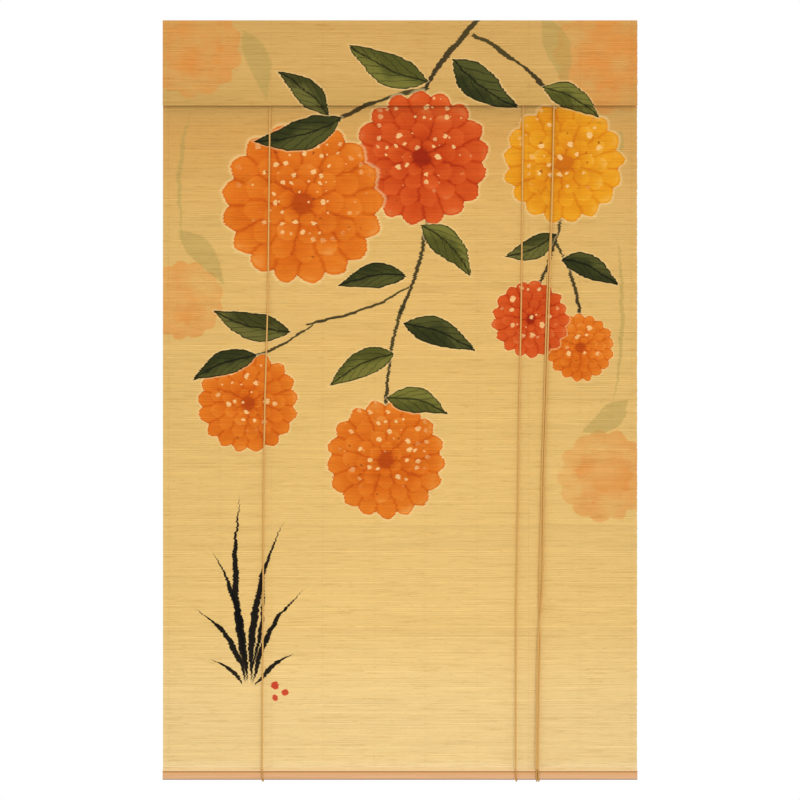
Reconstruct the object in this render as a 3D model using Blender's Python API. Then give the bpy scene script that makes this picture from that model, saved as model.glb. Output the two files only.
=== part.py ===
"""Bamboo blind: a hanging cloth of splints, a folded valance, a wooden foot batten and two cords.

Frame: metres, +Z up, the front faces -Y. The origin is on top of the valance's fold, in the
middle of the blind's width and in the plane of the hanging cloth.
"""
import math

import bmesh
import bpy
from mathutils import Vector

# Driving dimensions, in metres.
WIDTH = 1.000
DROP = 1.600
CLOTH = 0.0014
GAP = 0.0003

VALANCE_DROP = 0.180
VALANCE_PROUD = 0.0125
VALANCE_FLARE = 0.0010
VALANCE_TUCK = 0.030
VALANCE_BACK = 0.0054
FRONT_FOLD_RADIUS = 0.0060
BACK_FOLD_RADIUS = 0.0033
VALANCE_STATIONS = 8

PANEL_BELLY = 0.0030
PANEL_STATIONS = 24
PANEL_BELLY_END = 0.98
PANEL_LIFT = 0.004

BATTEN_HEIGHT = 0.0215
BATTEN_DEPTH = 0.0080
BATTEN_FOOT_RADIUS = 0.0036
BATTEN_TOP_RADIUS = 0.0010

CORD = 0.0032
CORD_BEND = 0.0064
HEAD_BEND = 0.0080
HEAD_SPACE = 0.0042
PULL_LEAN = 0.70
CORD_TURN = math.radians(24)
CORD_SHIFT = 0.0025
CORD_TUCK = 0.0045

KNOT_WIDTH = 0.0106
KNOT_DEPTH = 0.0070
KNOT_HEIGHT = 0.0120
KNOT_RISE = 0.0265
KNOT_FLATNESS = 1.25

# Where each cord runs, from the valance's lower edge to the batten: metres across and up.
LEFT_LIFT = [(-0.2740, -0.180), (-0.2765, -0.400), (-0.2785, -0.590), (-0.2845, -0.800),
             (-0.2868, -0.960), (-0.2885, -1.240), (-0.2905, -1.570)]
RIGHT_LIFT = [(0.2595, -0.180), (0.2575, -0.400), (0.2555, -0.590), (0.2510, -0.830),
              (0.2490, -1.000), (0.2450, -1.240), (0.2437, -1.570)]

# The pull's two strands: metres across, towards the back, and up. They lie one in front of the
# other under the valance, part half way down, cross once, and reach the batten side by side.
OUTER_PULL = [
    (0.3243, -0.0072, -0.180),
    (0.3190, -0.0085, -0.430),
    (0.3156, -0.0080, -0.540),
    (0.3110, -0.0073, -0.695),
    (0.3082, -0.0072, -0.800),
    (0.3032, -0.0074, -0.958),
    (0.3023, -0.0078, -1.040),
    (0.3018, -0.0084, -1.125),
    (0.3006, -0.0096, -1.180),
    (0.2986, -0.0110, -1.221),
    (0.2948, -0.0118, -1.257),
    (0.2914, -0.0112, -1.305),
    (0.2888, -0.0104, -1.400),
    (0.2876, -0.0106, -1.484),
    (0.2868, -0.0110, -1.570),
]
INNER_PULL = [
    (0.3243, -0.0031, -0.180),
    (0.3184, -0.0045, -0.430),
    (0.3114, -0.0058, -0.540),
    (0.3066, -0.0064, -0.695),
    (0.3038, -0.0068, -0.800),
    (0.2988, -0.0070, -0.958),
    (0.2974, -0.0073, -1.040),
    (0.2950, -0.0077, -1.125),
    (0.2938, -0.0077, -1.180),
    (0.2932, -0.0076, -1.221),
    (0.2936, -0.0076, -1.257),
    (0.2948, -0.0082, -1.305),
    (0.2930, -0.0096, -1.400),
    (0.2918, -0.0102, -1.484),
    (0.2910, -0.0110, -1.570),
]

# Places that follow from the sizes.
CORD_RADIUS = CORD / 2
CROWN = -CLOTH / 2
BATTEN_BACK = -CLOTH / 2 - GAP
BATTEN_FRONT = BATTEN_BACK - BATTEN_DEPTH
BATTEN_TOP = -DROP + BATTEN_HEIGHT
FRONT_LANE = -CLOTH / 2 - GAP - CORD_RADIUS
BACK_LANE = VALANCE_BACK / 2
BATTEN_LANE = BATTEN_FRONT - GAP - CORD_RADIUS
LEFT_HEAD = -CLOTH - GAP - CORD_RADIUS
RIGHT_HEAD = LEFT_HEAD - CORD - GAP


def clear_scene():
    """Start from an empty file."""
    for item in list(bpy.data.objects):
        bpy.data.objects.remove(item, do_unlink=True)


def finish(name, colour, roughness):
    """A plain Principled material."""
    material = bpy.data.materials.new(name)
    material.use_nodes = True
    shader = material.node_tree.nodes["Principled BSDF"]
    shader.inputs["Base Color"].default_value = (*colour, 1.0)
    shader.inputs["Roughness"].default_value = roughness
    shader.inputs["Metallic"].default_value = 0.0
    return material


def add_object(name, data, material):
    """Put a piece in the scene with its finish."""
    data.materials.append(material)
    item = bpy.data.objects.new(name, data)
    bpy.context.scene.collection.objects.link(item)
    return item


def arc(centre, radius, first, last, steps):
    """Points of an arc in the plane across the blind: (towards the back, up), degrees from +Y."""
    points = []
    for step in range(steps + 1):
        turn = math.radians(first + (last - first) * step / steps)
        points.append((centre[0] + radius * math.cos(turn), centre[1] + radius * math.sin(turn)))
    return points


def close_body(name, shape, material):
    """Turn a finished bmesh into an object with its faces outwards."""
    bmesh.ops.recalc_face_normals(shape, faces=shape.faces)
    mesh = bpy.data.meshes.new(name)
    shape.to_mesh(mesh)
    shape.free()
    return add_object(name, mesh, material)


def cloth_body(name, line, material):
    """A sheet of cloth that is straight across the width and follows a line of (back, up) points."""
    sides = [[], []]
    for index, (depth, up) in enumerate(line):
        before = Vector(line[max(index - 1, 0)])
        after = Vector(line[min(index + 1, len(line) - 1)])
        along = (after - before).normalized()
        out = Vector((-along.y, along.x)) * (CLOTH / 2)
        sides[0].append((depth + out.x, up + out.y))
        sides[1].append((depth - out.x, up - out.y))
    shape = bmesh.new()
    rows = []
    for near, far in zip(*sides):
        ring = [(-WIDTH / 2, near), (WIDTH / 2, near), (WIDTH / 2, far), (-WIDTH / 2, far)]
        rows.append([shape.verts.new((across, *place)) for across, place in ring])
    for row, following in zip(rows, rows[1:]):
        for index in range(4):
            after = (index + 1) % 4
            shape.faces.new((row[index], row[after], following[after], following[index]))
    shape.faces.new(rows[0])
    shape.faces.new(rows[-1])
    return close_body(name, shape, material)


def panel_line():
    """The hanging cloth from its top edge in the fold to its foot behind the batten."""
    top = -CLOTH - GAP
    foot = -DROP + PANEL_LIFT
    points = []
    for index in range(PANEL_STATIONS + 1):
        share = index / PANEL_STATIONS
        hang = min(share / PANEL_BELLY_END, 1.0)
        belly = -PANEL_BELLY * math.sin(math.pi * hang) ** 2
        points.append((belly, top + (foot - top) * share))
    return points


def valance_line():
    """The valance from its tucked edge behind, over the fold and down to its lower edge in front."""
    back_centre = (VALANCE_BACK - BACK_FOLD_RADIUS, CROWN - BACK_FOLD_RADIUS)
    front_centre = (-VALANCE_PROUD + FRONT_FOLD_RADIUS, CROWN - FRONT_FOLD_RADIUS)
    points = [(VALANCE_BACK, -VALANCE_TUCK), (VALANCE_BACK, -VALANCE_TUCK / 2)]
    points += arc(back_centre, BACK_FOLD_RADIUS, 0, 90, 5)
    points += arc(front_centre, FRONT_FOLD_RADIUS, 90, 180, 6)
    start = front_centre[1]
    for step in range(1, VALANCE_STATIONS + 1):
        share = step / VALANCE_STATIONS
        depth = -VALANCE_PROUD - VALANCE_FLARE * share ** 2
        points.append((depth, start + (-VALANCE_DROP - start) * share))
    return points


def make_batten(material):
    """The foot strip: a planed bar, eased at the top and rounded underneath for the cords."""
    foot, top = BATTEN_FOOT_RADIUS, BATTEN_TOP_RADIUS
    outline = arc((BATTEN_FRONT + foot, -DROP + foot), foot, 180, 270, 5)
    outline += arc((BATTEN_BACK - foot, -DROP + foot), foot, 270, 360, 5)
    outline += arc((BATTEN_BACK - top, BATTEN_TOP - top), top, 0, 90, 3)
    outline += arc((BATTEN_FRONT + top, BATTEN_TOP - top), top, 90, 180, 3)
    shape = bmesh.new()
    ends = []
    for across in (-WIDTH / 2, WIDTH / 2):
        ends.append([shape.verts.new((across, depth, up)) for depth, up in outline])
    bmesh.ops.bridge_loops(shape, edges=[edge for end in ends for edge in closed_loop(shape, end)])
    for end in ends:
        shape.faces.new(end)
    return close_body("bottom_batten", shape, material)


def closed_loop(shape, verts):
    """The edges of a closed ring of points."""
    return [shape.edges.new((vert, after)) for vert, after in zip(verts, verts[1:] + verts[:1])]


def smooth_route(points):
    """Points of a smooth curve through the route's own points, closer together where it turns."""
    points = [Vector(point) for point in points]
    padded = [2 * points[0] - points[1], *points, 2 * points[-1] - points[-2]]
    found = []
    for before, start, end, after in zip(padded, padded[1:], padded[2:], padded[3:]):
        knots = [0.0]
        for first, second in ((before, start), (start, end), (end, after)):
            knots.append(knots[-1] + (second - first).length ** 0.5)
        leaving = tangent_at(before, start, end, knots[0:3], knots[2] - knots[1])
        arriving = tangent_at(start, end, after, knots[1:4], knots[2] - knots[1])
        steps = max(1, math.ceil(leaving.angle(arriving) / CORD_TURN))
        for step in range(steps):
            found.append(hermite(start, end, leaving, arriving, step / steps))
    return found + [points[-1]]


def tangent_at(before, here, after, knots, span):
    """The slope of a centripetal curve at its middle point, for a stretch as long as span."""
    first, second = knots[1] - knots[0], knots[2] - knots[1]
    slope = (here - before) / first - (after - before) / (first + second) + (after - here) / second
    return slope * span


def hermite(start, end, leaving, arriving, share):
    """A point of the cubic between two points with the given slopes."""
    square, cube = share ** 2, share ** 3
    return (start * (2 * cube - 3 * square + 1) + leaving * (cube - 2 * square + share)
            + end * (3 * square - 2 * cube) + arriving * (cube - square))


def under_batten(front, back):
    """A cord's way from the batten's front face, under it and up behind the cloth."""
    front_turn = (BATTEN_LANE + CORD_BEND, -DROP + BATTEN_FOOT_RADIUS)
    back_turn = (BACK_LANE - CORD_BEND, -DROP + BATTEN_FOOT_RADIUS)
    way = [(BATTEN_LANE, BATTEN_TOP), (BATTEN_LANE, BATTEN_TOP - BATTEN_HEIGHT / 2)]
    way += arc(front_turn, CORD_BEND, 180, 270, 4)
    way += arc(back_turn, CORD_BEND, 270, 360, 4)
    way.append((BACK_LANE, -DROP + BATTEN_HEIGHT / 2))
    points = []
    for index, (depth, up) in enumerate(way):
        share = min(index / (len(way) - 2), 1.0)
        points.append(Vector((front + (back - front) * share, depth, up)))
    return points


def lift_route(lift, head):
    """A lift cord from the fold behind the cloth, down, under the batten and up to the head."""
    foot = lift[-1][0]
    shifted = foot + CORD_SHIFT
    top = lift[0][0]
    route = [Vector((top, BACK_LANE, -CORD_TUCK)), Vector((top, BACK_LANE, -VALANCE_TUCK))]
    for share in (0.25, 0.5, 0.75):
        route.append(Vector((top + (shifted - top) * share, BACK_LANE, -DROP * share)))
    route += reversed(under_batten(foot, shifted))
    for across, up in reversed(lift):
        share = up / lift[-1][1]
        route.append(Vector((across, FRONT_LANE + (BATTEN_LANE - FRONT_LANE) * share, up)))
    route.append(Vector((top, FRONT_LANE, head - 4 * HEAD_BEND)))
    return route + head_turn(top, head, 180, 90)


def head_turn(across, head, first, last):
    """A quarter turn in the fold between a cord's level run and an upright one."""
    side = 1 if first == 180 else -1
    turn = arc((across + side * HEAD_BEND, head - HEAD_BEND), HEAD_BEND, first, last, 3)
    return [Vector((place, FRONT_LANE, up)) for place, up in turn]


def pull_route(strand, head, lane, side):
    """A pull strand from the head down to the batten, under it and up to the knot.

    lane is how far aside of the strand's first point it leaves the head, and side is the side of
    the knot that it enters.
    """
    first, last = strand[0], strand[-1]
    route = head_turn(first[0] + lane, head, 90, 0)
    depth = FRONT_LANE + (first[1] - FRONT_LANE) * PULL_LEAN
    route.append(Vector((first[0] + lane * PULL_LEAN, depth, -VALANCE_DROP / 2)))
    route += [Vector(point) for point in strand]
    route += under_batten(last[0], last[0] + CORD_SHIFT)
    end = -DROP + KNOT_RISE - KNOT_HEIGHT / 2 - 2 * GAP
    route.append(Vector((knot_middle() + side * (CORD_RADIUS + GAP), knot_depth(), end)))
    return route


def knot_middle():
    """Where across the blind the knot lies."""
    return (OUTER_PULL[-1][0] + INNER_PULL[-1][0]) / 2 + CORD_SHIFT


def knot_depth():
    """How far behind the cloth the knot's middle lies."""
    return CLOTH / 2 + GAP + KNOT_DEPTH / 2


def make_cord(name, route, material):
    """A round cord along a smooth route."""
    curve = bpy.data.curves.new(name, "CURVE")
    curve.dimensions = "3D"
    curve.bevel_depth = CORD_RADIUS
    curve.bevel_resolution = 2
    curve.use_fill_caps = True
    points = smooth_route(route)
    spline = curve.splines.new("POLY")
    spline.points.add(len(points) - 1)
    for place, point in zip(spline.points, points):
        place.co = (*point, 1.0)
    return add_object(name, curve, material)


def make_knot(material):
    """The knot behind the batten: a round body, flattened where the strands enter it."""
    shape = bmesh.new()
    bmesh.ops.create_uvsphere(shape, u_segments=20, v_segments=12, radius=0.5)
    for vert in shape.verts:
        flat = max(min(vert.co.z * KNOT_FLATNESS, 0.5), -0.5)
        vert.co = (knot_middle() + vert.co.x * KNOT_WIDTH, knot_depth() + vert.co.y * KNOT_DEPTH,
                   -DROP + KNOT_RISE + flat * KNOT_HEIGHT)
    bmesh.ops.dissolve_limit(shape, angle_limit=math.radians(1), verts=shape.verts, edges=shape.edges)
    return close_body("pull_knot", shape, material)


def main():
    clear_scene()
    bamboo, wood, braid = (0.76, 0.50, 0.21), (0.74, 0.45, 0.22), (0.62, 0.40, 0.24)
    cloth_body("panel", panel_line(), finish("panel_bamboo", bamboo, 0.55))
    cloth_body("valance", valance_line(), finish("valance_bamboo", bamboo, 0.55))
    make_batten(finish("batten_wood", wood, 0.5))
    left = lift_route(LEFT_LIFT, LEFT_HEAD) + pull_route(OUTER_PULL, LEFT_HEAD, 0.0, -1)
    right = lift_route(RIGHT_LIFT, RIGHT_HEAD) + pull_route(INNER_PULL, RIGHT_HEAD, -HEAD_SPACE, 1)
    make_cord("left_cord", left, finish("left_braid", braid, 0.85))
    make_cord("right_cord", right, finish("right_braid", braid, 0.85))
    make_knot(finish("knot_braid", braid, 0.85))


main()
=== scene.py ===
"""Roll-up blind of fine bamboo splints: printed cloth, valance, foot batten and cord pull."""

import logging
import math
from collections.abc import Mapping, Sequence
from dataclasses import dataclass, field
from enum import Enum

import bmesh
import bpy
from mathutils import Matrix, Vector


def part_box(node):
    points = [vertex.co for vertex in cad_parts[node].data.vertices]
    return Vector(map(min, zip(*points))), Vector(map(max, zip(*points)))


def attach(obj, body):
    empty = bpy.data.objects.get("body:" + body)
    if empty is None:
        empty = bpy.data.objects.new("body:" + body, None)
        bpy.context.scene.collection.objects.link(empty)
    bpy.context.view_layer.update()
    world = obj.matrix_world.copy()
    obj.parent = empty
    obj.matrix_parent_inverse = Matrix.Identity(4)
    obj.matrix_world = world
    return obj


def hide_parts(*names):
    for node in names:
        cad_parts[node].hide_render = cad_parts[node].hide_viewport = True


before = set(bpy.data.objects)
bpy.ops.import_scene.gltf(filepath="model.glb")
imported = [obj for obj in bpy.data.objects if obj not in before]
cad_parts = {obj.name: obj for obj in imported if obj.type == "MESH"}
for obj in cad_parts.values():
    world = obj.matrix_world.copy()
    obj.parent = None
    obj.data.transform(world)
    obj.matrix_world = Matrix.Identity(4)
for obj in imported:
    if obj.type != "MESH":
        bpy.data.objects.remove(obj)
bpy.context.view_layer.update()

BODY = "root"
BAKE_MAP = "OFBake"
LOG = logging.getLogger("bamboo_blind")

Triple = tuple[float, float, float]
Place = tuple[float, float]


# ---------------------------------------------------------------------------------------------
# Node trees written as Python expressions
# ---------------------------------------------------------------------------------------------


class Output:
    """What a node gives."""

    def __init__(self, net: "Net", socket: bpy.types.NodeSocket) -> None:
        """Keep the socket and the tree that it belongs to."""
        self.net = net
        self.socket = socket


class Wire(Output):
    """A number that a node gives, with arithmetic that adds Math nodes to the same tree."""

    def __add__(self, other: "Number") -> "Wire":
        """This number plus another."""
        return self.net.maths("ADD", self, other)

    def __radd__(self, other: float) -> "Wire":
        """A plain number plus this one."""
        return self.net.maths("ADD", other, self)

    def __sub__(self, other: "Number") -> "Wire":
        """This number less another."""
        return self.net.maths("SUBTRACT", self, other)

    def __rsub__(self, other: float) -> "Wire":
        """A plain number less this one."""
        return self.net.maths("SUBTRACT", other, self)

    def __mul__(self, other: "Number") -> "Wire":
        """This number times another."""
        return self.net.maths("MULTIPLY", self, other)

    def __rmul__(self, other: float) -> "Wire":
        """A plain number times this one."""
        return self.net.maths("MULTIPLY", other, self)

    def __truediv__(self, other: "Number") -> "Wire":
        """This number divided by another."""
        return self.net.maths("DIVIDE", self, other)

    def __rtruediv__(self, other: float) -> "Wire":
        """A plain number divided by this one."""
        return self.net.maths("DIVIDE", other, self)

    def __abs__(self) -> "Wire":
        """This number without its sign."""
        return self.net.maths("ABSOLUTE", self)

    def times_plus(self, factor: "Number", extra: "Number") -> "Wire":
        """This number times factor, plus extra, in one node."""
        return self.net.maths("MULTIPLY_ADD", self, factor, extra)

    def most(self, other: "Number") -> "Wire":
        """The larger of this number and another."""
        return self.net.maths("MAXIMUM", self, other)

    def sine(self) -> "Wire":
        """The sine of this angle, in radians."""
        return self.net.maths("SINE", self)

    def fraction(self) -> "Wire":
        """What is left of this number over its whole part."""
        return self.net.maths("FRACT", self)

    def rise(self, low: float, high: float, start: float = 0.0, end: float = 1.0) -> "Wire":
        """A soft step from start to end as this number goes from low to high.

        Args:
            low: where the step begins.
            high: where the step ends; it may lie under low.
            start: the value before the step.
            end: the value after the step.

        Returns:
            The stepped number.
        """
        sockets = {"Value": self, "From Min": low, "From Max": high, "To Min": start, "To Max": end}
        return self.net.number("ShaderNodeMapRange", {"interpolation_type": "SMOOTHSTEP"}, sockets)


class Arrow(Output):
    """A vector or colour that a node gives, with arithmetic that adds Vector Math nodes."""

    def __add__(self, other: "Arrow | Triple") -> "Arrow":
        """The sum of two vectors."""
        return self.net.vector_maths("ADD", self, other)

    def __sub__(self, other: "Arrow | Triple") -> "Arrow":
        """The difference of two vectors."""
        return self.net.vector_maths("SUBTRACT", self, other)

    def __mul__(self, other: "Arrow | Triple | Number") -> "Arrow":
        """This vector scaled by a number, or multiplied part by part with another vector."""
        if isinstance(other, (Wire, float, int)):
            sockets = {"Vector": self, "Scale": other}
            return self.net.arrow("ShaderNodeVectorMath", {"operation": "SCALE"}, sockets)
        return self.net.vector_maths("MULTIPLY", self, other)

    def dot(self, other: "Arrow | Triple") -> Wire:
        """The dot product of two vectors."""
        settings, sockets = {"operation": "DOT_PRODUCT"}, {0: self, 1: other}
        return self.net.number("ShaderNodeVectorMath", settings, sockets, "Value")

    def length(self) -> Wire:
        """How long this vector is."""
        return self.net.number("ShaderNodeVectorMath", {"operation": "LENGTH"}, {0: self}, "Value")

    def parts(self) -> tuple[Wire, Wire, Wire]:
        """The three parts of this vector."""
        split = self.net.node("ShaderNodeSeparateXYZ", sockets={0: self})
        return tuple(Wire(self.net, socket) for socket in split.outputs)


Number = Wire | float | int
Settings = Mapping[str, object]
Sockets = Mapping[str | int, object]


def find_socket(sockets: Sequence[bpy.types.NodeSocket], key: str | int) -> bpy.types.NodeSocket:
    """A node's socket by its place, its identifier or its name.

    Args:
        sockets: the node's inputs or outputs.
        key: which of them.

    Returns:
        The socket.
    """
    if isinstance(key, int):
        return sockets[key]
    for socket in sockets:
        if socket.identifier == key:
            return socket
    return sockets[key]


class Net:
    """A node tree that is being written."""

    def __init__(self, tree: bpy.types.NodeTree) -> None:
        """Keep the tree that nodes go into."""
        self.tree = tree

    def node(self, kind: str, settings: Settings | None = None,
             sockets: Sockets | None = None) -> bpy.types.Node:
        """Add any node.

        Args:
            kind: the node's type.
            settings: its own settings, set first; "stops" are a colour ramp's.
            sockets: values or links for its input sockets.

        Returns:
            The node.
        """
        made = self.tree.nodes.new(kind)
        for name, value in (settings or {}).items():
            if name == "stops":
                self._set_stops(made.color_ramp, value)
            else:
                setattr(made, name, value)
        for key, value in (sockets or {}).items():
            self._fill(find_socket(made.inputs, key), value)
        return made

    def _fill(self, target: bpy.types.NodeSocket, value: object) -> None:
        """Link a socket, or set its value.

        Args:
            target: an input socket.
            value: a number or colour, or what a node gives.
        """
        if isinstance(value, Output):
            self.tree.links.new(value.socket, target)
        elif isinstance(value, bpy.types.NodeSocket):
            self.tree.links.new(value, target)
        elif target.type == "RGBA":
            target.default_value = (*value, 1.0)
        else:
            target.default_value = value

    @staticmethod
    def _set_stops(ramp: bpy.types.ColorRamp, stops: Sequence[tuple[float, Triple]]) -> None:
        """Give a colour ramp its stops.

        Args:
            ramp: the colour ramp.
            stops: each stop's place and colour.
        """
        while len(ramp.elements) < len(stops):
            ramp.elements.new(1.0)
        for element, (position, colour) in zip(ramp.elements, stops):
            element.position = position
            element.color = (*colour, 1.0)

    def number(self, kind: str, settings: Settings | None = None, sockets: Sockets | None = None,
               output: str | int = 0) -> Wire:
        """Add a node and take one output as a number."""
        return Wire(self, find_socket(self.node(kind, settings, sockets).outputs, output))

    def arrow(self, kind: str, settings: Settings | None = None, sockets: Sockets | None = None,
              output: str | int = 0) -> Arrow:
        """Add a node and take one output as a vector or colour."""
        return Arrow(self, find_socket(self.node(kind, settings, sockets).outputs, output))

    def maths(self, operation: str, *values: Number) -> Wire:
        """One Math node on numbers."""
        return self.number("ShaderNodeMath", {"operation": operation}, dict(enumerate(values)))

    def vector_maths(self, operation: str, first: Arrow | Triple, second: Arrow | Triple) -> Arrow:
        """One Vector Math node on two vectors."""
        return self.arrow("ShaderNodeVectorMath", {"operation": operation}, {0: first, 1: second})

    def point(self, x: Number, y: Number, z: Number) -> Arrow:
        """A vector put together from three numbers."""
        return self.arrow("ShaderNodeCombineXYZ", sockets={0: x, 1: y, 2: z})

    def mix(self, share: Number, first: Arrow | Triple, second: Arrow | Triple) -> Arrow:
        """The first colour at share 0, the second at share 1."""
        sockets = {"Factor_Float": share, "A_Color": first, "B_Color": second}
        return self.arrow("ShaderNodeMix", {"data_type": "RGBA"}, sockets, "Result_Color")

    def blend(self, share: Number, first: Number, second: Number) -> Wire:
        """The first number at share 0, the second at share 1."""
        sockets = {"Factor_Float": share, "A_Float": first, "B_Float": second}
        return self.number("ShaderNodeMix", {"data_type": "FLOAT"}, sockets, "Result_Float")

    def noise(self, where: Arrow, scale: float, detail: float = 2.0) -> bpy.types.Node:
        """A Noise Texture node read at a vector."""
        sockets = {"Vector": where, "Scale": scale, "Detail": detail}
        return self.node("ShaderNodeTexNoise", sockets=sockets)

    def cloudy(self, where: Arrow, scale: float, detail: float = 2.0) -> Wire:
        """The number that a Noise Texture gives, about 0.5 on average."""
        return Wire(self, self.noise(where, scale, detail).outputs["Fac"])


def put(name: str, data: bpy.types.ID) -> bpy.types.Object:
    """Make an object and put it in the scene, at the origin.

    Args:
        name: its name.
        data: its mesh, camera or light.

    Returns:
        The object.
    """
    made = bpy.data.objects.new(name, data)
    bpy.context.scene.collection.objects.link(made)
    return made


class Recipe(Net):
    """A Geometry Nodes tree with named inputs, which makes a mesh from chains of edges."""

    def __init__(self, name: str) -> None:
        """Start the tree, and take the line that comes in as a curve.

        Args:
            name: the tree's name.
        """
        super().__init__(bpy.data.node_groups.new(name, "GeometryNodeTree"))
        self.identifiers: dict[str, str] = {}
        for label, side in (("Line", "INPUT"), ("Mesh", "OUTPUT")):
            self.tree.interface.new_socket(label, in_out=side, socket_type="NodeSocketGeometry")
        self.entry = self.node("NodeGroupInput")
        sockets = {"Mesh": self.entry.outputs["Line"]}
        self.curve = self.node("GeometryNodeMeshToCurve", sockets=sockets).outputs[0]

    def size(self, name: str, kind: str = "Float") -> Wire:
        """Add a named input to the tree and return what it gives.

        Args:
            name: its name.
            kind: its type.

        Returns:
            What it gives.
        """
        made = self.tree.interface.new_socket(name, in_out="INPUT", socket_type=f"NodeSocket{kind}")
        self.identifiers[name] = made.identifier
        return Wire(self, self.entry.outputs[name])

    def own(self, name: str) -> Wire:
        """A named attribute of the geometry, as a number."""
        return self.number("GeometryNodeInputNamedAttribute", {"data_type": "FLOAT"},
                           {"Name": name})

    def own_arrow(self, name: str) -> Arrow:
        """A named attribute of the geometry, as a vector."""
        return self.arrow("GeometryNodeInputNamedAttribute", {"data_type": "FLOAT_VECTOR"},
                          {"Name": name})

    def position(self) -> Arrow:
        """Where each point is."""
        return self.arrow("GeometryNodeInputPosition")

    def under(self, value: Wire, limit: float) -> Wire:
        """Whether a number is less than a limit."""
        sockets = {"A": value, "B": limit}
        return self.number("FunctionNodeCompare", {"operation": "LESS_THAN"}, sockets)

    def keep(self, geometry: bpy.types.NodeSocket, name: str, value: Wire | Arrow,
             kind: str = "FLOAT", domain: str = "POINT") -> bpy.types.NodeSocket:
        """Store a value on the geometry under a name.

        Args:
            geometry: the geometry.
            name: the name.
            value: what is stored.
            kind: its type.
            domain: what has a value each: points, faces or corners.

        Returns:
            The geometry with the value.
        """
        settings = {"data_type": kind, "domain": domain}
        sockets = {"Geometry": geometry, "Name": name, "Value": value}
        return self.node("GeometryNodeStoreNamedAttribute", settings, sockets).outputs[0]

    def shift(self, geometry: bpy.types.NodeSocket, offset: Arrow) -> bpy.types.NodeSocket:
        """Move each point by a vector."""
        sockets = {"Geometry": geometry, "Offset": offset}
        return self.node("GeometryNodeSetPosition", sockets=sockets).outputs[0]

    def ring(self, sides: Number, radius: Number) -> bpy.types.NodeSocket:
        """A round section."""
        sockets = {"Resolution": sides, "Radius": radius}
        return self.node("GeometryNodeCurvePrimitiveCircle", {"mode": "RADIUS"}, sockets).outputs[0]

    def sweep(self, curve: bpy.types.NodeSocket,
              section: bpy.types.NodeSocket) -> bpy.types.NodeSocket:
        """A solid with the given section along a curve, closed at its ends."""
        sockets = {"Curve": curve, "Profile Curve": section, "Fill Caps": True}
        return self.node("GeometryNodeCurveToMesh", sockets=sockets).outputs[0]

    def smooth(self, mesh: bpy.types.NodeSocket, where: Wire | bool = True) -> bpy.types.NodeSocket:
        """Shade a mesh smooth, or its chosen faces alone."""
        sockets = {"Geometry": mesh, "Selection": where, "Shade Smooth": True}
        return self.node("GeometryNodeSetShadeSmooth", sockets=sockets).outputs[0]

    def realize(self, geometry: bpy.types.NodeSocket) -> bpy.types.NodeSocket:
        """Turn instances into real geometry."""
        return self.node("GeometryNodeRealizeInstances", sockets={"Geometry": geometry}).outputs[0]

    def finish(self, geometry: bpy.types.NodeSocket,
               finishes: Sequence[tuple[float, bpy.types.Material]]) -> None:
        """End the tree with Realize Instances and Set Material.

        Args:
            geometry: what has been made.
            finishes: the top of each band of heights and its material, the highest first.
        """
        geometry = self.realize(geometry)
        for limit, material in finishes:
            below = self.under(self.own("height"), limit)
            sockets = {"Geometry": geometry, "Selection": below, "Material": material}
            geometry = self.node("GeometryNodeSetMaterial", sockets=sockets).outputs[0]
        self.node("NodeGroupOutput", sockets={"Mesh": geometry})

    def make(self, name: str, line: bpy.types.Mesh,
             values: Mapping[str, float]) -> bpy.types.Object:
        """Run the tree on a line and keep the result as a plain mesh.

        Args:
            name: the piece's name.
            line: chains of edges that the piece follows.
            values: the tree's named inputs.

        Returns:
            The piece, with no modifier left on it.
        """
        piece = put(name, line)
        modifier = piece.modifiers.new(self.tree.name, "NODES")
        modifier.node_group = self.tree
        for label, value in values.items():
            modifier[self.identifiers[label]] = value
        graph = bpy.context.evaluated_depsgraph_get()
        made = bpy.data.meshes.new_from_object(
            piece.evaluated_get(graph), preserve_all_data_layers=True, depsgraph=graph)
        piece.modifiers.remove(modifier)
        made.name = name
        piece.data = made
        return piece


def chain_mesh(name: str, chains: Sequence[tuple[Sequence[Vector], bool]]) -> bpy.types.Mesh:
    """Chains of edges through points.

    Args:
        name: the mesh's name.
        chains: each chain's points, and whether it closes on itself.

    Returns:
        A mesh of edges alone.
    """
    points: list[Vector] = []
    edges: list[tuple[int, int]] = []
    for chain, closed in chains:
        first = len(points)
        points.extend(chain)
        edges.extend((index, index + 1) for index in range(first, len(points) - 1))
        if closed:
            edges.append((len(points) - 1, first))
    mesh = bpy.data.meshes.new(name)
    mesh.from_pydata([tuple(point) for point in points], edges, [])
    return mesh


# ---------------------------------------------------------------------------------------------
# Sizes and lines
# ---------------------------------------------------------------------------------------------


def arc(centre: Place, radius: float, first: float, last: float, steps: int) -> list[Place]:
    """Points of an arc in the plane across the blind.

    Args:
        centre: its centre, as (towards the back, up).
        radius: its radius.
        first: the angle at which it starts, in degrees from the back.
        last: the angle at which it ends.
        steps: how many chords it has.

    Returns:
        Its points, as (towards the back, up).
    """
    turns = [math.radians(first + (last - first) * step / steps) for step in range(steps + 1)]
    return [(centre[0] + radius * math.cos(turn), centre[1] + radius * math.sin(turn))
            for turn in turns]


def path_length(points: Sequence[Vector]) -> float:
    """How long a chain of points is."""
    return sum((after - here).length for here, after in zip(points, points[1:]))


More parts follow.
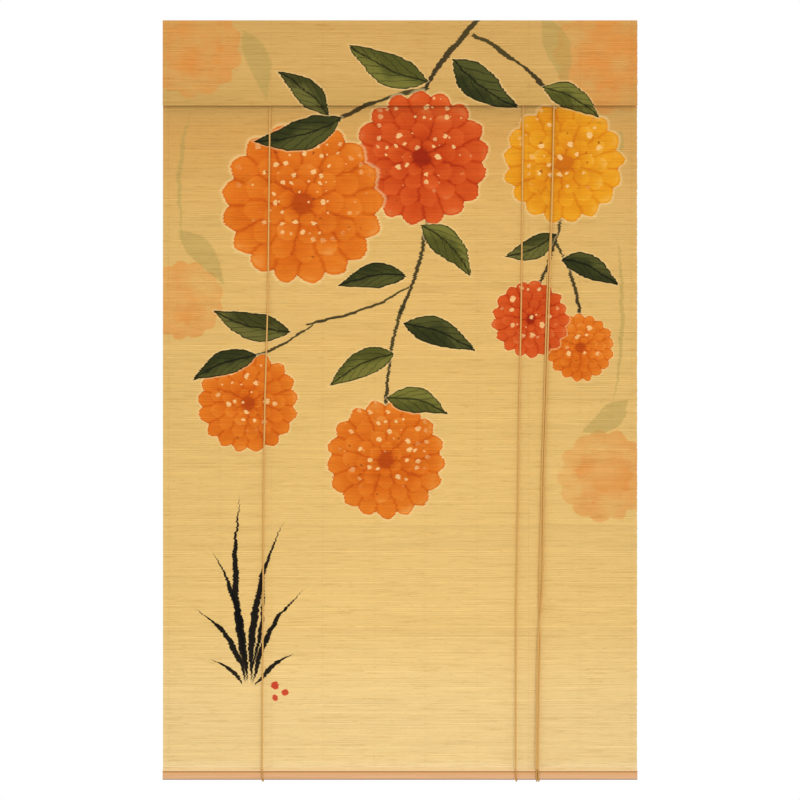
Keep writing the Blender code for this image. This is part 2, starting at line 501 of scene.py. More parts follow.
@dataclass(frozen=True)
class BlindSizes:
    """The sizes that the pieces share. The outline comes from the frame's boxes."""

    width: float
    drop: float
    valance_drop: float
    batten_height: float
    batten_depth: float
    cloth: float = 0.0014
    gap: float = 0.0003
    foot_radius: float = 0.0036
    cord: float = 0.0032
    cord_lay: float = 0.015

    @classmethod
    def from_frame(cls) -> "BlindSizes":
        """Read the outline from the frame.

        Returns:
            The sizes.
        """
        low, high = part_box("panel")
        batten_low, batten_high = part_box("bottom_batten")
        valance_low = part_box("valance")[0]
        batten = batten_high - batten_low
        return cls(high.x - low.x, -batten_low.z, -valance_low.z, batten.z, batten.y)

    @property
    def cord_radius(self) -> float:
        """Half a cord's diameter."""
        return self.cord / 2

    @property
    def front_lane(self) -> float:
        """Depth of a cord that lies on the front of the cloth."""
        return -self.cloth / 2 - self.gap - self.cord_radius

    @property
    def batten_back(self) -> float:
        """Depth of the batten's back face."""
        return -self.cloth / 2 - self.gap

    @property
    def batten_lane(self) -> float:
        """Depth of a cord that lies on the front of the batten."""
        return self.batten_back - self.batten_depth - self.gap - self.cord_radius


@dataclass(frozen=True)
class ValanceFold:
    """How the valance folds over the top edge and hangs in front."""

    proud: float = 0.0125
    flare: float = 0.0010
    tuck: float = 0.030
    back: float = 0.0054
    front_radius: float = 0.0060
    back_radius: float = 0.0033
    stations: int = 12

    def line(self, sizes: BlindSizes) -> list[Place]:
        """The valance from its tucked edge behind, over the fold and down in front.

        Args:
            sizes: the sizes that the pieces share.

        Returns:
            Its points, as (towards the back, up).
        """
        crown = -sizes.cloth / 2
        back_centre = (self.back - self.back_radius, crown - self.back_radius)
        front_centre = (self.front_radius - self.proud, crown - self.front_radius)
        points = [(self.back, -self.tuck), (self.back, -self.tuck / 2)]
        points += arc(back_centre, self.back_radius, 0, 90, 12)
        points += arc(front_centre, self.front_radius, 90, 180, 16)
        start = front_centre[1]
        for step in range(1, self.stations + 1):
            share = step / self.stations
            depth = -self.proud - self.flare * share ** 2
            points.append((depth, start + (-sizes.valance_drop - start) * share))
        return points


@dataclass(frozen=True)
class PanelHang:
    """How the panel hangs, with a slight belly towards the room."""

    belly: float = 0.0030
    belly_end: float = 0.98
    lift: float = 0.004
    stations: int = 48

    def line(self, sizes: BlindSizes) -> list[Place]:
        """The panel from its top edge in the fold to its foot behind the batten.

        Args:
            sizes: the sizes that the pieces share.

        Returns:
            Its points, as (towards the back, up).
        """
        top = -sizes.cloth - sizes.gap
        foot = -sizes.drop + self.lift
        points = []
        for index in range(self.stations + 1):
            share = index / self.stations
            hang = min(share / self.belly_end, 1.0)
            points.append((-self.belly * math.sin(math.pi * hang) ** 2, top + (foot - top) * share))
        return points


# ---------------------------------------------------------------------------------------------
# Studio
# ---------------------------------------------------------------------------------------------


@dataclass(frozen=True)
class Studio:
    """A front-on long-lens camera, soft white light all round, a soft key and a pale floor."""

    view_width: float = 1.6864
    lens: float = 200.0
    sensor: float = 36.0
    key_strength: float = 0.65
    key_softness: float = math.radians(9)
    key_elevation: float = math.radians(13)
    key_azimuth: float = math.radians(18)
    floor_drop: float = 0.25
    floor_size: float = 4.0
    floor_colour: Triple = (0.80, 0.79, 0.77)

    def build(self, sizes: BlindSizes) -> None:
        """Make the camera, the lights and the floor.

        Args:
            sizes: the sizes that the pieces share.
        """
        scene = bpy.context.scene
        scene.view_settings.view_transform = "Standard"
        self._camera(scene, -sizes.drop / 2)
        self._lights(scene)
        self._floor(-sizes.drop - self.floor_drop)

    def _camera(self, scene: bpy.types.Scene, middle: float) -> None:
        """The camera, level with the blind's middle and square to it.

        Args:
            scene: the scene.
            middle: how high the blind's middle is.
        """
        data = bpy.data.cameras.new("camera")
        data.lens = self.lens
        data.sensor_width = self.sensor
        camera = put("camera", data)
        camera.location = (0.0, -self.view_width * self.lens / self.sensor, middle)
        camera.rotation_euler = (math.radians(90), 0.0, 0.0)
        scene.camera = camera

    def _lights(self, scene: bpy.types.Scene) -> None:
        """White surroundings and a soft key from above and a little to the right.

        Args:
            scene: the scene.
        """
        world = bpy.data.worlds.new("white_room")
        world.use_nodes = True
        world.node_tree.nodes["Background"].inputs["Color"].default_value = (1.0, 1.0, 1.0, 1.0)
        scene.world = world
        data = bpy.data.lights.new("key", "SUN")
        data.energy = self.key_strength
        data.angle = self.key_softness
        key = put("key", data)
        level = math.cos(self.key_elevation)
        towards = Vector((level * math.sin(self.key_azimuth), -level * math.cos(self.key_azimuth),
                          math.sin(self.key_elevation)))
        key.rotation_euler = towards.to_track_quat("Z", "Y").to_euler()

    def _floor(self, height: float) -> None:
        """A plain pale floor some way under the blind.

        Args:
            height: how high it lies.
        """
        shape = bmesh.new()
        bmesh.ops.create_grid(shape, x_segments=1, y_segments=1, size=self.floor_size / 2)
        bmesh.ops.translate(shape, verts=shape.verts, vec=(0.0, 0.0, height))
        mesh = bpy.data.meshes.new("floor")
        shape.to_mesh(mesh)
        shape.free()
        paint = Surface("floor_paint", {"Base Color": self.floor_colour, "Roughness": 0.6})
        mesh.materials.append(paint.material)
        put("floor", mesh)


# ---------------------------------------------------------------------------------------------
# Finishes
# ---------------------------------------------------------------------------------------------

STUDIO_LIGHT = 1.08      # what a white matt surface gives back in the studio's light


def tint(red: int, green: int, blue: int) -> Triple:
    """The reflectance that shows as a colour of 0 to 255 under the studio's light.

    Args:
        red: how red it is, from 0 to 255.
        green: how green.
        blue: how blue.

    Returns:
        The reflectance of each, from 0 to 1.
    """
    shares = [value / 255 for value in (red, green, blue)]
    linear = [share / 12.92 if share <= 0.04045 else ((share + 0.055) / 1.055) ** 2.4
              for share in shares]
    return tuple(value / STUDIO_LIGHT for value in linear)


class Surface(Net):
    """The nodes of one finish: a Principled shader and what feeds it."""

    def __init__(self, name: str, fixed: Sockets) -> None:
        """Start a material.

        Args:
            name: the finish's name.
            fixed: shader values that are the same all over the surface.
        """
        self.material = bpy.data.materials.new(name)
        self.material.use_nodes = True
        super().__init__(self.material.node_tree)
        self.tree.nodes.clear()
        self.shader = self.node("ShaderNodeBsdfPrincipled", sockets=fixed)
        self.node("ShaderNodeOutputMaterial", sockets={"Surface": self.shader.outputs[0]})

    def place(self) -> Arrow:
        """Object coordinates, in metres."""
        return self.arrow("ShaderNodeTexCoord", output="Object")

    def own(self, name: str) -> Wire:
        """An attribute of the piece."""
        return self.number("ShaderNodeAttribute", {"attribute_name": name}, output="Fac")

    def dress(self, colour: Arrow, roughness: Wire, height: Wire, depth: float) -> None:
        """Feed the shader.

        Args:
            colour: the base colour.
            roughness: the roughness.
            height: relief, from 0 to 1.
            depth: how deep that relief is, in metres.
        """
        bump = self.arrow("ShaderNodeBump", sockets={"Strength": 1.0, "Distance": depth,
                                                     "Height": height})
        for name, value in (("Base Color", colour), ("Roughness", roughness), ("Normal", bump)):
            self._fill(self.shader.inputs[name], value)


@dataclass(frozen=True)
class Palette:
    """The tones of one printed hue, from its shadows to its lights."""

    deep: Triple
    body: Triple
    bright: Triple
    pale: Triple

    def ramp(self, surface: Surface, shade: Wire) -> Arrow:
        """The colour at a shade from 0, deep, to 1, pale."""
        stops = [(0.0, self.deep), (0.36, self.body), (0.72, self.bright), (1.0, self.pale)]
        return surface.arrow("ShaderNodeValToRGB", {"stops": stops}, {"Fac": shade})


class Hue(Enum):
    """The printed blossoms' hues."""

    GOLD = Palette(tint(205, 112, 12), tint(222, 138, 14), tint(232, 160, 28), tint(240, 190, 92))
    ORANGE = Palette(tint(186, 74, 6), tint(212, 100, 10), tint(226, 124, 30), tint(236, 168, 84))
    RED = Palette(tint(160, 38, 4), tint(198, 66, 10), tint(216, 90, 30), tint(232, 146, 82))


class Green(Enum):
    """The printed leaves' greens: the light half, the dark half and the lines."""

    OLIVE = (tint(122, 118, 50), tint(84, 84, 30), tint(36, 38, 8))
    DEEP = (tint(84, 84, 36), tint(50, 54, 18), tint(14, 18, 4))
    MOSS = (tint(108, 104, 48), tint(66, 66, 24), tint(24, 26, 6))


INK_BLACK = tint(6, 4, 4)
TWIG_BROWN = tint(54, 52, 22)
BERRY_RED = tint(206, 44, 26)
SPECK_PALE = tint(246, 206, 138)
DOT_BROWN = tint(150, 62, 12)
FRINGE = tint(246, 212, 148)
GHOST_PEACH = tint(222, 138, 56)
GHOST_OLIVE = tint(176, 154, 84)


@dataclass(frozen=True)
class Brushwork:
    """How the print wanders, in metres and in cells a metre, and where its specks and dots lie."""

    slip: float = 0.0016
    wobble: float = 0.013
    wobble_cells: float = 26.0
    wash_cells: float = 13.0
    speck_cells: float = 50.0
    speck_size: float = 0.30
    speck_choice: Place = (0.50, 0.56)
    dot_size: float = 0.16
    dot_choice: Place = (0.16, 0.12)
    speck_edge: float = 0.04


class Canvas:
    """The print on the cloth so far, with the noise that its edges and washes share."""

    def __init__(self, surface: Surface, ground: Arrow, brush: Brushwork) -> None:
        """Start from the bare ground.

        Args:
            surface: the finish that is painted.
            ground: the cloth's own colour.
            brush: how the print wanders.
        """
        self.surface = surface
        self.colour = ground
        self.ink: Wire | None = None
        across, _, up = surface.place().parts()
        slipped = surface.own("slip").times_plus(brush.slip, across)
        flat = surface.point(slipped, up, 0.0)
        wobble = surface.noise(flat, brush.wobble_cells, 3.0).outputs["Color"]
        self.wash = surface.cloudy(flat, brush.wash_cells, 4.0)
        self.place = flat + (Arrow(surface, wobble) - (0.5, 0.5, 0.5)) * brush.wobble
        cells = surface.node("ShaderNodeTexVoronoi", {"voronoi_dimensions": "2D"},
                             {"Vector": self.place, "Scale": brush.speck_cells})
        distance = Wire(surface, cells.outputs["Distance"])
        size, choice, _ = Arrow(surface, cells.outputs["Color"]).parts()
        edge = brush.speck_edge
        self.specks, self.dots = [
            (size * share - distance).rise(-edge, edge) * choice.rise(*chosen)
            for share, chosen in ((brush.speck_size, brush.speck_choice),
                                  (brush.dot_size, brush.dot_choice))]

    def lay(self, colour: Arrow | Triple, cover: Wire) -> None:
        """Paint a colour over the print where cover is 1."""
        self.colour = self.surface.mix(cover, self.colour, colour)

    def wet(self, cover: Wire) -> None:
        """Note where ink lies."""
        self.ink = cover if self.ink is None else self.ink.most(cover)


@dataclass(frozen=True)
class RoundMotif:
    """A motif about a middle, given by its place across and up, with a radius."""

    x: float
    z: float
    radius: float

    def reach(self) -> Place:
        """The lowest and highest place that it touches."""
        return self.z - self.radius, self.z + self.radius

    def spot(self, canvas: Canvas) -> tuple[Wire, Wire, Wire]:
        """Where a point lies about the middle.

        Args:
            canvas: what is painted.

        Returns:
            How far out and how far up it is, in radii, and the angle at which it lies.
        """
        spot = (canvas.place - (self.x, self.z, 0.0)) * (1 / self.radius)
        across, up, _ = spot.parts()
        return spot.length(), up, canvas.surface.maths("ARCTAN2", up, across)


@dataclass(frozen=True)
class PetalRing:
    """One ring of petals, in shares of the blossom's radius."""

    reach: float
    depth: float
    petals: int
    turn: float


PETAL_RINGS = (PetalRing(1.00, 0.10, 17, 0.2), PetalRing(0.76, 0.11, 13, 1.0),
               PetalRing(0.53, 0.10, 9, 0.4), PetalRing(0.31, 0.07, 6, 1.3))


@dataclass(frozen=True)
class Blossom(RoundMotif):
    """A round blossom of several petal rings, seen from the front.

    Heart, fringe, dots and specks are each where they begin and where they are full, in radii
    out from the middle or from the rim, and how strong they are.
    """

    hue: Hue = Hue.ORANGE
    turn: float = 0.0
    swell: float = 0.85
    wash: float = 0.75
    depth: float = 0.44
    cleft: Place = (0.42, 0.32)
    rim: Place = (0.05, 0.30)
    heart: Triple = (0.17, 0.09, 0.35)
    outline: float = 0.014
    ring_edge: float = 0.02
    fringe: Triple = (-0.05, -0.005, 0.45)
    dots: Triple = (0.85, 0.70, 0.7)
    specks: Triple = (0.85, 0.45, 0.8)
    light_lean: float = 0.35

    def paint(self, canvas: Canvas) -> None:
        """Paint its rings from the outermost in, then pale specks and dark dots.

        Args:
            canvas: what is painted.
        """
        surface = canvas.surface
        out, up, angle = self.spot(canvas)
        begin, full, fringe = self.fringe
        shade, cover = None, None
        for ring in PETAL_RINGS:
            lobes = abs(angle.times_plus(ring.petals / 2, ring.turn + self.turn).sine())
            inside = lobes.times_plus(ring.depth, ring.reach - ring.depth) - out
            petal = out * (self.swell / ring.reach) + canvas.wash * self.wash - self.depth
            for line, (reach, dark) in ((lobes, self.cleft), (inside, self.rim)):
                petal = petal - line.rise(reach, 0.0) * dark
            if shade is None:
                cover = inside.rise(0.0, self.outline)
                canvas.lay(FRINGE, inside.rise(begin, full) * fringe)
                shade = petal
            else:
                shade = surface.blend(inside.rise(0.0, self.ring_edge), shade, petal)
        outer, inner, dark = self.heart
        shade = shade - out.rise(outer, inner) * dark
        canvas.lay(self.hue.value.ramp(surface, shade), cover)
        outer, inner, strength = self.dots
        canvas.lay(DOT_BROWN, canvas.dots * out.rise(outer, inner) * strength)
        outer, inner, strength = self.specks
        light = (out - up * self.light_lean).rise(outer, inner)
        canvas.lay(SPECK_PALE, canvas.specks * light * cover * strength)
        canvas.wet(cover)


@dataclass(frozen=True)
class Stroke:
    """A brush stroke between two places, bowed to one side."""

    start: Place
    end: Place
    width: float
    bow: float = 0.0

    def reach(self) -> Place:
        """The lowest and highest place that it touches.

        Returns:
            Those two heights.
        """
        spare = self.width + abs(self.bow)
        heights = (self.start[1], self.end[1])
        return min(heights) - spare, max(heights) + spare

    def frame(self, canvas: Canvas) -> tuple[Wire, Wire, Wire]:
        """Where a point lies on the stroke.

        Args:
            canvas: what is painted.

        Returns:
            The share of the way along it, the distance aside of its middle line, in metres, and
            a swell that is 1 half way and 0 at both ends.
        """
        way = Vector((self.end[0] - self.start[0], self.end[1] - self.start[1], 0.0))
        aside = Vector((-way.y, way.x, 0.0)).normalized()
        spot = canvas.place - (*self.start, 0.0)
        share = spot.dot(tuple(way / way.length_squared))
        swell = (1.0 - share) * share * 4.0
        return share, swell.times_plus(-self.bow, spot.dot(tuple(aside))), swell

    def half_width(self, share: Wire, swell: Wire, base: float) -> Wire:
        """Half its width along the way; it is fuller near the start where base is over a half."""
        return swell * share.rise(0.0, 1.0, self.width * base, self.width * (1 - base))


@dataclass(frozen=True)
class Twig(Stroke):
    """A knobbly twig of even width."""

    knobs: float = 0.9
    edge: float = 0.0016
    ends: Place = (-0.02, 0.05)
    strength: float = 0.92

    def paint(self, canvas: Canvas) -> None:
        """Paint it in one brown green.

        Args:
            canvas: what is painted.
        """
        share, aside, swell = self.frame(canvas)
        width = canvas.wash.times_plus(self.width * self.knobs, self.width * (1 - self.knobs))
        cover = (width - abs(aside)).rise(0.0, self.edge) * swell.rise(*self.ends)
        canvas.lay(canvas.surface.mix(share, TWIG_BROWN, INK_BLACK), cover * self.strength)
        canvas.wet(cover)


@dataclass(frozen=True)
class Blade(Stroke):
    """An ink stroke that swells in its middle and ends in points."""

    base: float = 0.75
    edge: float = 0.0012
    strength: float = 0.99

    def paint(self, canvas: Canvas) -> None:
        """Paint it in black ink.

        Args:
            canvas: what is painted.
        """
        share, aside, swell = self.frame(canvas)
        cover = (self.half_width(share, swell, self.base) - abs(aside)).rise(0.0, self.edge)
        canvas.lay(INK_BLACK, cover * self.strength)
        canvas.wet(cover)


@dataclass(frozen=True)
class Leaf(Stroke):
    """A pointed leaf with a light and a dark half, a midrib, side veins and a dark rim."""

    green: Green = Green.OLIVE
    veins: float = 5.0
    vein_rake: float = 0.9
    base: float = 0.64
    edge: float = 0.0014
    midrib: Place = (0.0024, 0.0012)
    rim: Place = (0.0046, 0.0018)
    wash: float = 1.6
    halves: Place = (0.55, 1.05)
    vein: Place = (0.09, 0.05)
    vein_ends: Place = (0.002, 0.006)
    vein_strength: float = 0.7
    line_strength: float = 0.85
    fringe: Place = (-0.004, -0.0005)
    fringe_strength: float = 0.4

    def paint(self, canvas: Canvas) -> None:
        """Paint its halves, then its lines.

        Args:
            canvas: what is painted.
        """
        surface = canvas.surface
        light, dark, lines = self.green.value
        share, aside, swell = self.frame(canvas)
        off = abs(aside)
        inside = self.half_width(share, swell, self.base) - off
        cover = inside.rise(0.0, self.edge)
        half = (aside * (1 / self.width) + canvas.wash * self.wash).rise(*self.halves)
        body = surface.mix(half, dark, light)
        rake = -self.veins * self.vein_rake / self.width
        wave = share.times_plus(self.veins, off * rake).fraction()
        vein = abs(wave - 0.5).rise(*self.vein) * inside.rise(*self.vein_ends)
        vein = vein * self.vein_strength
        line = off.rise(*self.midrib).most(inside.rise(*self.rim)).most(vein)
        canvas.lay(FRINGE, inside.rise(*self.fringe) * self.fringe_strength)
        canvas.lay(surface.mix(line * self.line_strength, body, lines), cover)
        canvas.wet(cover)


@dataclass(frozen=True)
class GhostBlossom(RoundMotif):
    """A pale blossom far behind the others."""

    petals: int = 13
    lobe: float = 0.10
    inner_reach: float = 0.66
    edge: float = 0.03
    strengths: Place = (0.55, 0.20)
    patches: Place = (0.1, 0.7)

    def paint(self, canvas: Canvas) -> None:
        """Paint two faint rings.

        Args:
            canvas: what is painted.
        """
        out, _, angle = self.spot(canvas)
        lobes = abs((angle * (self.petals / 2)).sine())
        cover = (lobes.times_plus(self.lobe, 1 - self.lobe) - out).rise(0.0, self.edge)
        inner = (lobes.times_plus(-self.lobe, self.inner_reach) - out).rise(0.0, self.edge)
        outer_strength, inner_strength = self.strengths
        cover = cover * outer_strength + inner * inner_strength
        canvas.lay(GHOST_PEACH, cover * canvas.wash.rise(*self.patches))


@dataclass(frozen=True)
class GhostLeaf(Stroke):
    """A pale leaf or twig far behind the others."""

    base: float = 0.64
    edge: float = 0.003
    strength: float = 0.5

    def paint(self, canvas: Canvas) -> None:
        """Paint one faint wash.

        Args:
            canvas: what is painted.
        """
        share, aside, swell = self.frame(canvas)
        cover = (self.half_width(share, swell, self.base) - abs(aside)).rise(0.0, self.edge)
        canvas.lay(GHOST_OLIVE, cover * self.strength)


@dataclass(frozen=True)
class Berry(RoundMotif):
    """A small round berry."""

    edge: float = 0.0015
    strength: float = 0.95

    def paint(self, canvas: Canvas) -> None:
        """Paint one round dab.

        Args:
            canvas: what is painted.
        """
        out = (canvas.place - (self.x, self.z, 0.0)).length()
        cover = out.rise(self.radius, self.radius - self.edge)
        canvas.lay(BERRY_RED, cover * self.strength)
        canvas.wet(cover)


Motif = Blossom | Twig | Blade | Leaf | GhostBlossom | GhostLeaf | Berry


@dataclass(frozen=True)
class BlossomPrint:
    """A branch of round blossoms with leaves over a faded one, and an ink reed with berries."""

    behind: tuple[Motif, ...] = (
        GhostBlossom(0.445, -0.075, 0.125), GhostBlossom(-0.435, -0.060, 0.105),
        GhostBlossom(0.430, -0.960, 0.100), GhostBlossom(-0.455, -0.590, 0.085),
        GhostLeaf((0.300, 0.010), (0.350, -0.150), 0.055, 0.01),
        GhostLeaf((0.470, -0.230), (0.395, -0.420), 0.060, -0.01),
        GhostLeaf((0.480, -0.800), (0.380, -0.870), 0.050, 0.01),
        GhostLeaf((-0.330, -0.020), (-0.280, -0.170), 0.050, 0.01),
        GhostLeaf((-0.470, -0.440), (-0.370, -0.560), 0.050, 0.01),
        GhostLeaf((0.455, -0.440), (0.440, -0.850), 0.012, 0.02),
        GhostLeaf((-0.440, -0.180), (-0.450, -0.500), 0.012, -0.02),
    )
    twigs: tuple[Motif, ...] = (
        Twig((0.200, 0.030), (0.050, -0.150), 0.011, -0.012),
        Twig((0.060, -0.142), (-0.150, -0.220), 0.009, -0.010),
        Twig((0.150, -0.030), (0.345, -0.185), 0.009, 0.014),
        Twig((0.060, -0.400), (0.000, -0.620), 0.009, 0.010),
        Twig((0.005, -0.600), (-0.030, -0.810), 0.008, -0.008),
        Twig((0.020, -0.560), (-0.200, -0.640), 0.007, 0.012),
        Twig((-0.185, -0.640), (-0.315, -0.710), 0.007, 0.008),
        Twig((0.340, -0.400), (0.290, -0.560), 0.008, 0.008),
        Twig((0.325, -0.460), (0.380, -0.620), 0.007, 0.008),
    )
    blossoms: tuple[Motif, ...] = (
        Blossom(0.045, -0.290, 0.143, Hue.RED, 0.3),
        Blossom(-0.205, -0.385, 0.172, Hue.ORANGE, 1.1),
        Blossom(0.345, -0.300, 0.128, Hue.GOLD, 0.8),
        Blossom(0.380, -0.690, 0.072, Hue.ORANGE, 0.2),
        Blossom(0.275, -0.630, 0.082, Hue.RED, 1.7),
        Blossom(-0.320, -0.805, 0.107, Hue.ORANGE, 0.5),
        Blossom(-0.030, -0.925, 0.126, Hue.ORANGE, 2.0),
    )
    leaves: tuple[Motif, ...] = (
        Leaf((0.060, -0.130), (-0.110, -0.050), 0.068, 0.012, Green.OLIVE),
        Leaf((0.110, -0.080), (0.250, -0.185), 0.070, -0.010, Green.DEEP),
        Leaf((-0.120, -0.205), (-0.310, -0.255), 0.066, 0.014, Green.DEEP),
        Leaf((-0.150, -0.200), (-0.260, -0.110), 0.052, -0.010, Green.MOSS),
        Leaf((0.300, -0.140), (0.420, -0.205), 0.052, 0.010, Green.OLIVE),
        Leaf((0.045, -0.430), (0.150, -0.540), 0.060, 0.012, Green.OLIVE),
        Leaf((0.015, -0.540), (-0.130, -0.560), 0.052, -0.012, Green.DEEP),
        Leaf((0.005, -0.640), (0.160, -0.700), 0.058, 0.012, Green.DEEP),
        Leaf((-0.010, -0.700), (-0.150, -0.770), 0.056, -0.010, Green.OLIVE),
        Leaf((-0.230, -0.655), (-0.395, -0.610), 0.058, 0.012, Green.MOSS),
        Leaf((-0.300, -0.705), (-0.440, -0.760), 0.050, -0.010, Green.DEEP),
        Leaf((0.330, -0.450), (0.220, -0.500), 0.048, 0.008, Green.MOSS),
        Leaf((0.340, -0.500), (0.460, -0.560), 0.052, 0.010, Green.DEEP),
        Leaf((-0.030, -0.795), (0.100, -0.830), 0.054, 0.012, Green.OLIVE),
    )
    reed: tuple[Motif, ...] = (
        Blade((-0.322, -1.395), (-0.402, -1.105), 0.013, -0.020),
        Blade((-0.318, -1.400), (-0.335, -0.985), 0.015, 0.020),
        Blade((-0.312, -1.400), (-0.236, -1.040), 0.014, 0.026),
        Blade((-0.310, -1.402), (-0.190, -1.190), 0.012, 0.026),
        Blade((-0.324, -1.400), (-0.440, -1.235), 0.012, -0.024),
        Blade((-0.306, -1.404), (-0.215, -1.335), 0.010, 0.012),
        Blade((-0.328, -1.402), (-0.405, -1.345), 0.009, -0.010),
        Blade((-0.316, -1.380), (-0.290, -1.120), 0.008, -0.012),
        Berry(-0.262, -1.402, 0.0090), Berry(-0.241, -1.416, 0.0080), Berry(-0.263, -1.428, 0.0070),
    )
    edge_spare: float = 0.002

    def motifs(self, low: float, high: float, wobble: float) -> list[Motif]:
        """The motifs that touch a band of heights, in the order of painting.

        Args:
            low: the band's lower edge.
            high: its upper edge.
            wobble: how far the print wanders.

        Returns:
            Those motifs, the one that is furthest behind first.
        """
        spare = wobble + self.edge_spare
        order = (*self.behind, *self.twigs, *self.blossoms, *self.leaves, *self.reed)
        return [motif for motif in order
                if motif.reach()[0] - spare < high and motif.reach()[1] + spare > low]


@dataclass(frozen=True)
class SplintLines:
    """The lines of the splints: streaks a metre across and down the cloth, and how they show.

    Each spread is the reading at which a line begins to show and the one at which it is full.
    """

    lines: Place = (11.0, 560.0)
    dashes: Place = (34.0, 760.0)
    fades: Place = (11.0, 150.0)
    light_spread: Place = (0.53, 0.72)
    dark_spread: Place = (0.47, 0.30)
    dash_spread: Place = (0.40, 0.25)
    fade_spread: Place = (0.34, 0.66)
    # The groove settings paint shade into the gaps between splints; the lines and dashes are the
    # bamboo's own colour.
    groove_shade_spread: Place = (0.36, 0.5)
    line_light: float = 0.05
    line_dark: float = 0.55
    dash_dark: float = 0.50
    groove_shade_depth: float = 0.192
    tone: float = 0.11
    level: float = 1.02
    # The tint of the dark streaks, and of the painted shade in the grooves.
    shadow: Triple = (0.84, 0.78, 0.66)


@dataclass(frozen=True)
class BambooFinish:
    """Bamboo splints, bare behind and printed in front."""

    print_design: BlossomPrint = BlossomPrint()
    brush: Brushwork = Brushwork()
    band_edges: tuple[float, ...] = (-0.10, -0.20, -0.32, -0.45, -0.58, -0.72, -0.88, -1.06, -1.45)
    ground: tuple[tuple[float, Triple], ...] = (
        (0.0, tint(211, 168, 96)), (0.07, tint(215, 173, 101)), (0.105, tint(206, 165, 93)),
        (0.15, tint(216, 166, 91)), (0.26, tint(223, 182, 107)),
        (0.60, tint(231, 193, 118)), (0.79, tint(236, 200, 127)), (0.90, tint(243, 212, 146)),
        # The stop at 0.986 is painted light: it lightens the cloth just above the batten, where the
        # batten's shade falls.
        (0.972, tint(245, 216, 151)), (0.986, tint(255, 233, 180)),
    )
    back: Triple = tint(214, 178, 118)
    streaks: SplintLines = SplintLines()
    # Painted shade: the cloth darkens towards both sides.
    side_shade: float = 0.05
    splint: float = 0.0022
    fibre_length: float = 0.035
    fibre_cells: float = 3000.0
    fibre_tone: Place = (0.16, 0.92)
    fibre_rough: Place = (0.25, 0.45)
    ink_rough: float = -0.08
    print_edge: Place = (0.30, 0.62)
    front_edge: Place = (0.001, -0.001)
    relief: float = 0.00006

    def bands(self, drop: float) -> list[tuple[float, bpy.types.Material]]:
        """One material for each band of heights, with the top of its band.

        Args:
            drop: the blind's drop.

        Returns:
            Each band's top and material, the highest first.
        """
        tops = (1.0, *self.band_edges)
        foots = (*self.band_edges, -drop - 1.0)
        return [(top, self._material(index, foot, top, drop))
                for index, (top, foot) in enumerate(zip(tops, foots))]

    def _material(self, index: int, low: float, high: float, drop: float) -> bpy.types.Material:
        """The cloth between two heights.

        Args:
            index: the band's number, from the top.
            low: the band's lower edge.
            high: the band's upper edge.
            drop: the blind's drop, over which the ground's colour runs.

        Returns:
            The finish.
        """
        surface = Surface(f"printed_bamboo_{index + 1}", {"Specular IOR Level": 0.1})
        across, depth, up = surface.place().parts()
        fall = up * (-1 / drop)
        ground = surface.arrow("ShaderNodeValToRGB", {"stops": self.ground}, {"Fac": fall})
        aside = across * 2.0
        # Painted shade that darkens the cloth towards both sides.
        ground = ground * (aside * aside).times_plus(-self.side_shade, 1.0)
        canvas = Canvas(surface, ground, self.brush)
        for motif in self.print_design.motifs(low, high, self.brush.wobble):
            motif.paint(canvas)
        printed = surface.own("face_side").rise(*self.print_edge) * depth.rise(*self.front_edge)
        colour = surface.mix(printed, self.back, canvas.colour)
        level = surface.own("section").times_plus(self.splint, surface.own("row"))
        fibre = surface.cloudy(surface.point(across * self.fibre_length, depth, level),
                               self.fibre_cells)
        colour = self._streaked(surface, across, colour) * fibre.times_plus(*self.fibre_tone)
        rough = fibre.times_plus(*self.fibre_rough)
        if canvas.ink is not None:
            rough = canvas.ink.times_plus(self.ink_rough, rough)
        surface.dress(colour, rough, fibre, self.relief)
        return surface.material

    def _streaked(self, surface: Surface, across: Wire, colour: Arrow) -> Arrow:
        """The cloth's colour with the lighter and darker lines of its splints, and painted shade in
        the grooves between them.

        Args:
            surface: the finish.
            across: how far across the blind a point is.
            colour: the colour without them.

        Returns:
            The lined colour.
        """
        look = self.streaks
        row = surface.own("row")
        lines, dashes, fade = [
            surface.cloudy(surface.point(across * grain[0], row * grain[1], layer), 1.0, detail)
            for grain, layer, detail in ((look.lines, 0.0, 3.0), (look.dashes, 5.0, 2.0),
                                         (look.fades, 9.0, 2.0))]
        tone = surface.own("tone") * fade.rise(*look.fade_spread)
        tone = tone.times_plus(look.tone, look.level)
        tone = tone + lines.rise(*look.light_spread) * look.line_light
        # Painted shade in the grooves between neighbouring splints.
        groove_shade = abs(surface.own("section")).rise(*look.groove_shade_spread) * look.groove_shade_depth
        dark = lines.rise(*look.dark_spread) * look.line_dark
        dark = dark + dashes.rise(*look.dash_spread) * look.dash_dark
        return surface.mix(dark + groove_shade, colour * tone, colour * look.shadow)


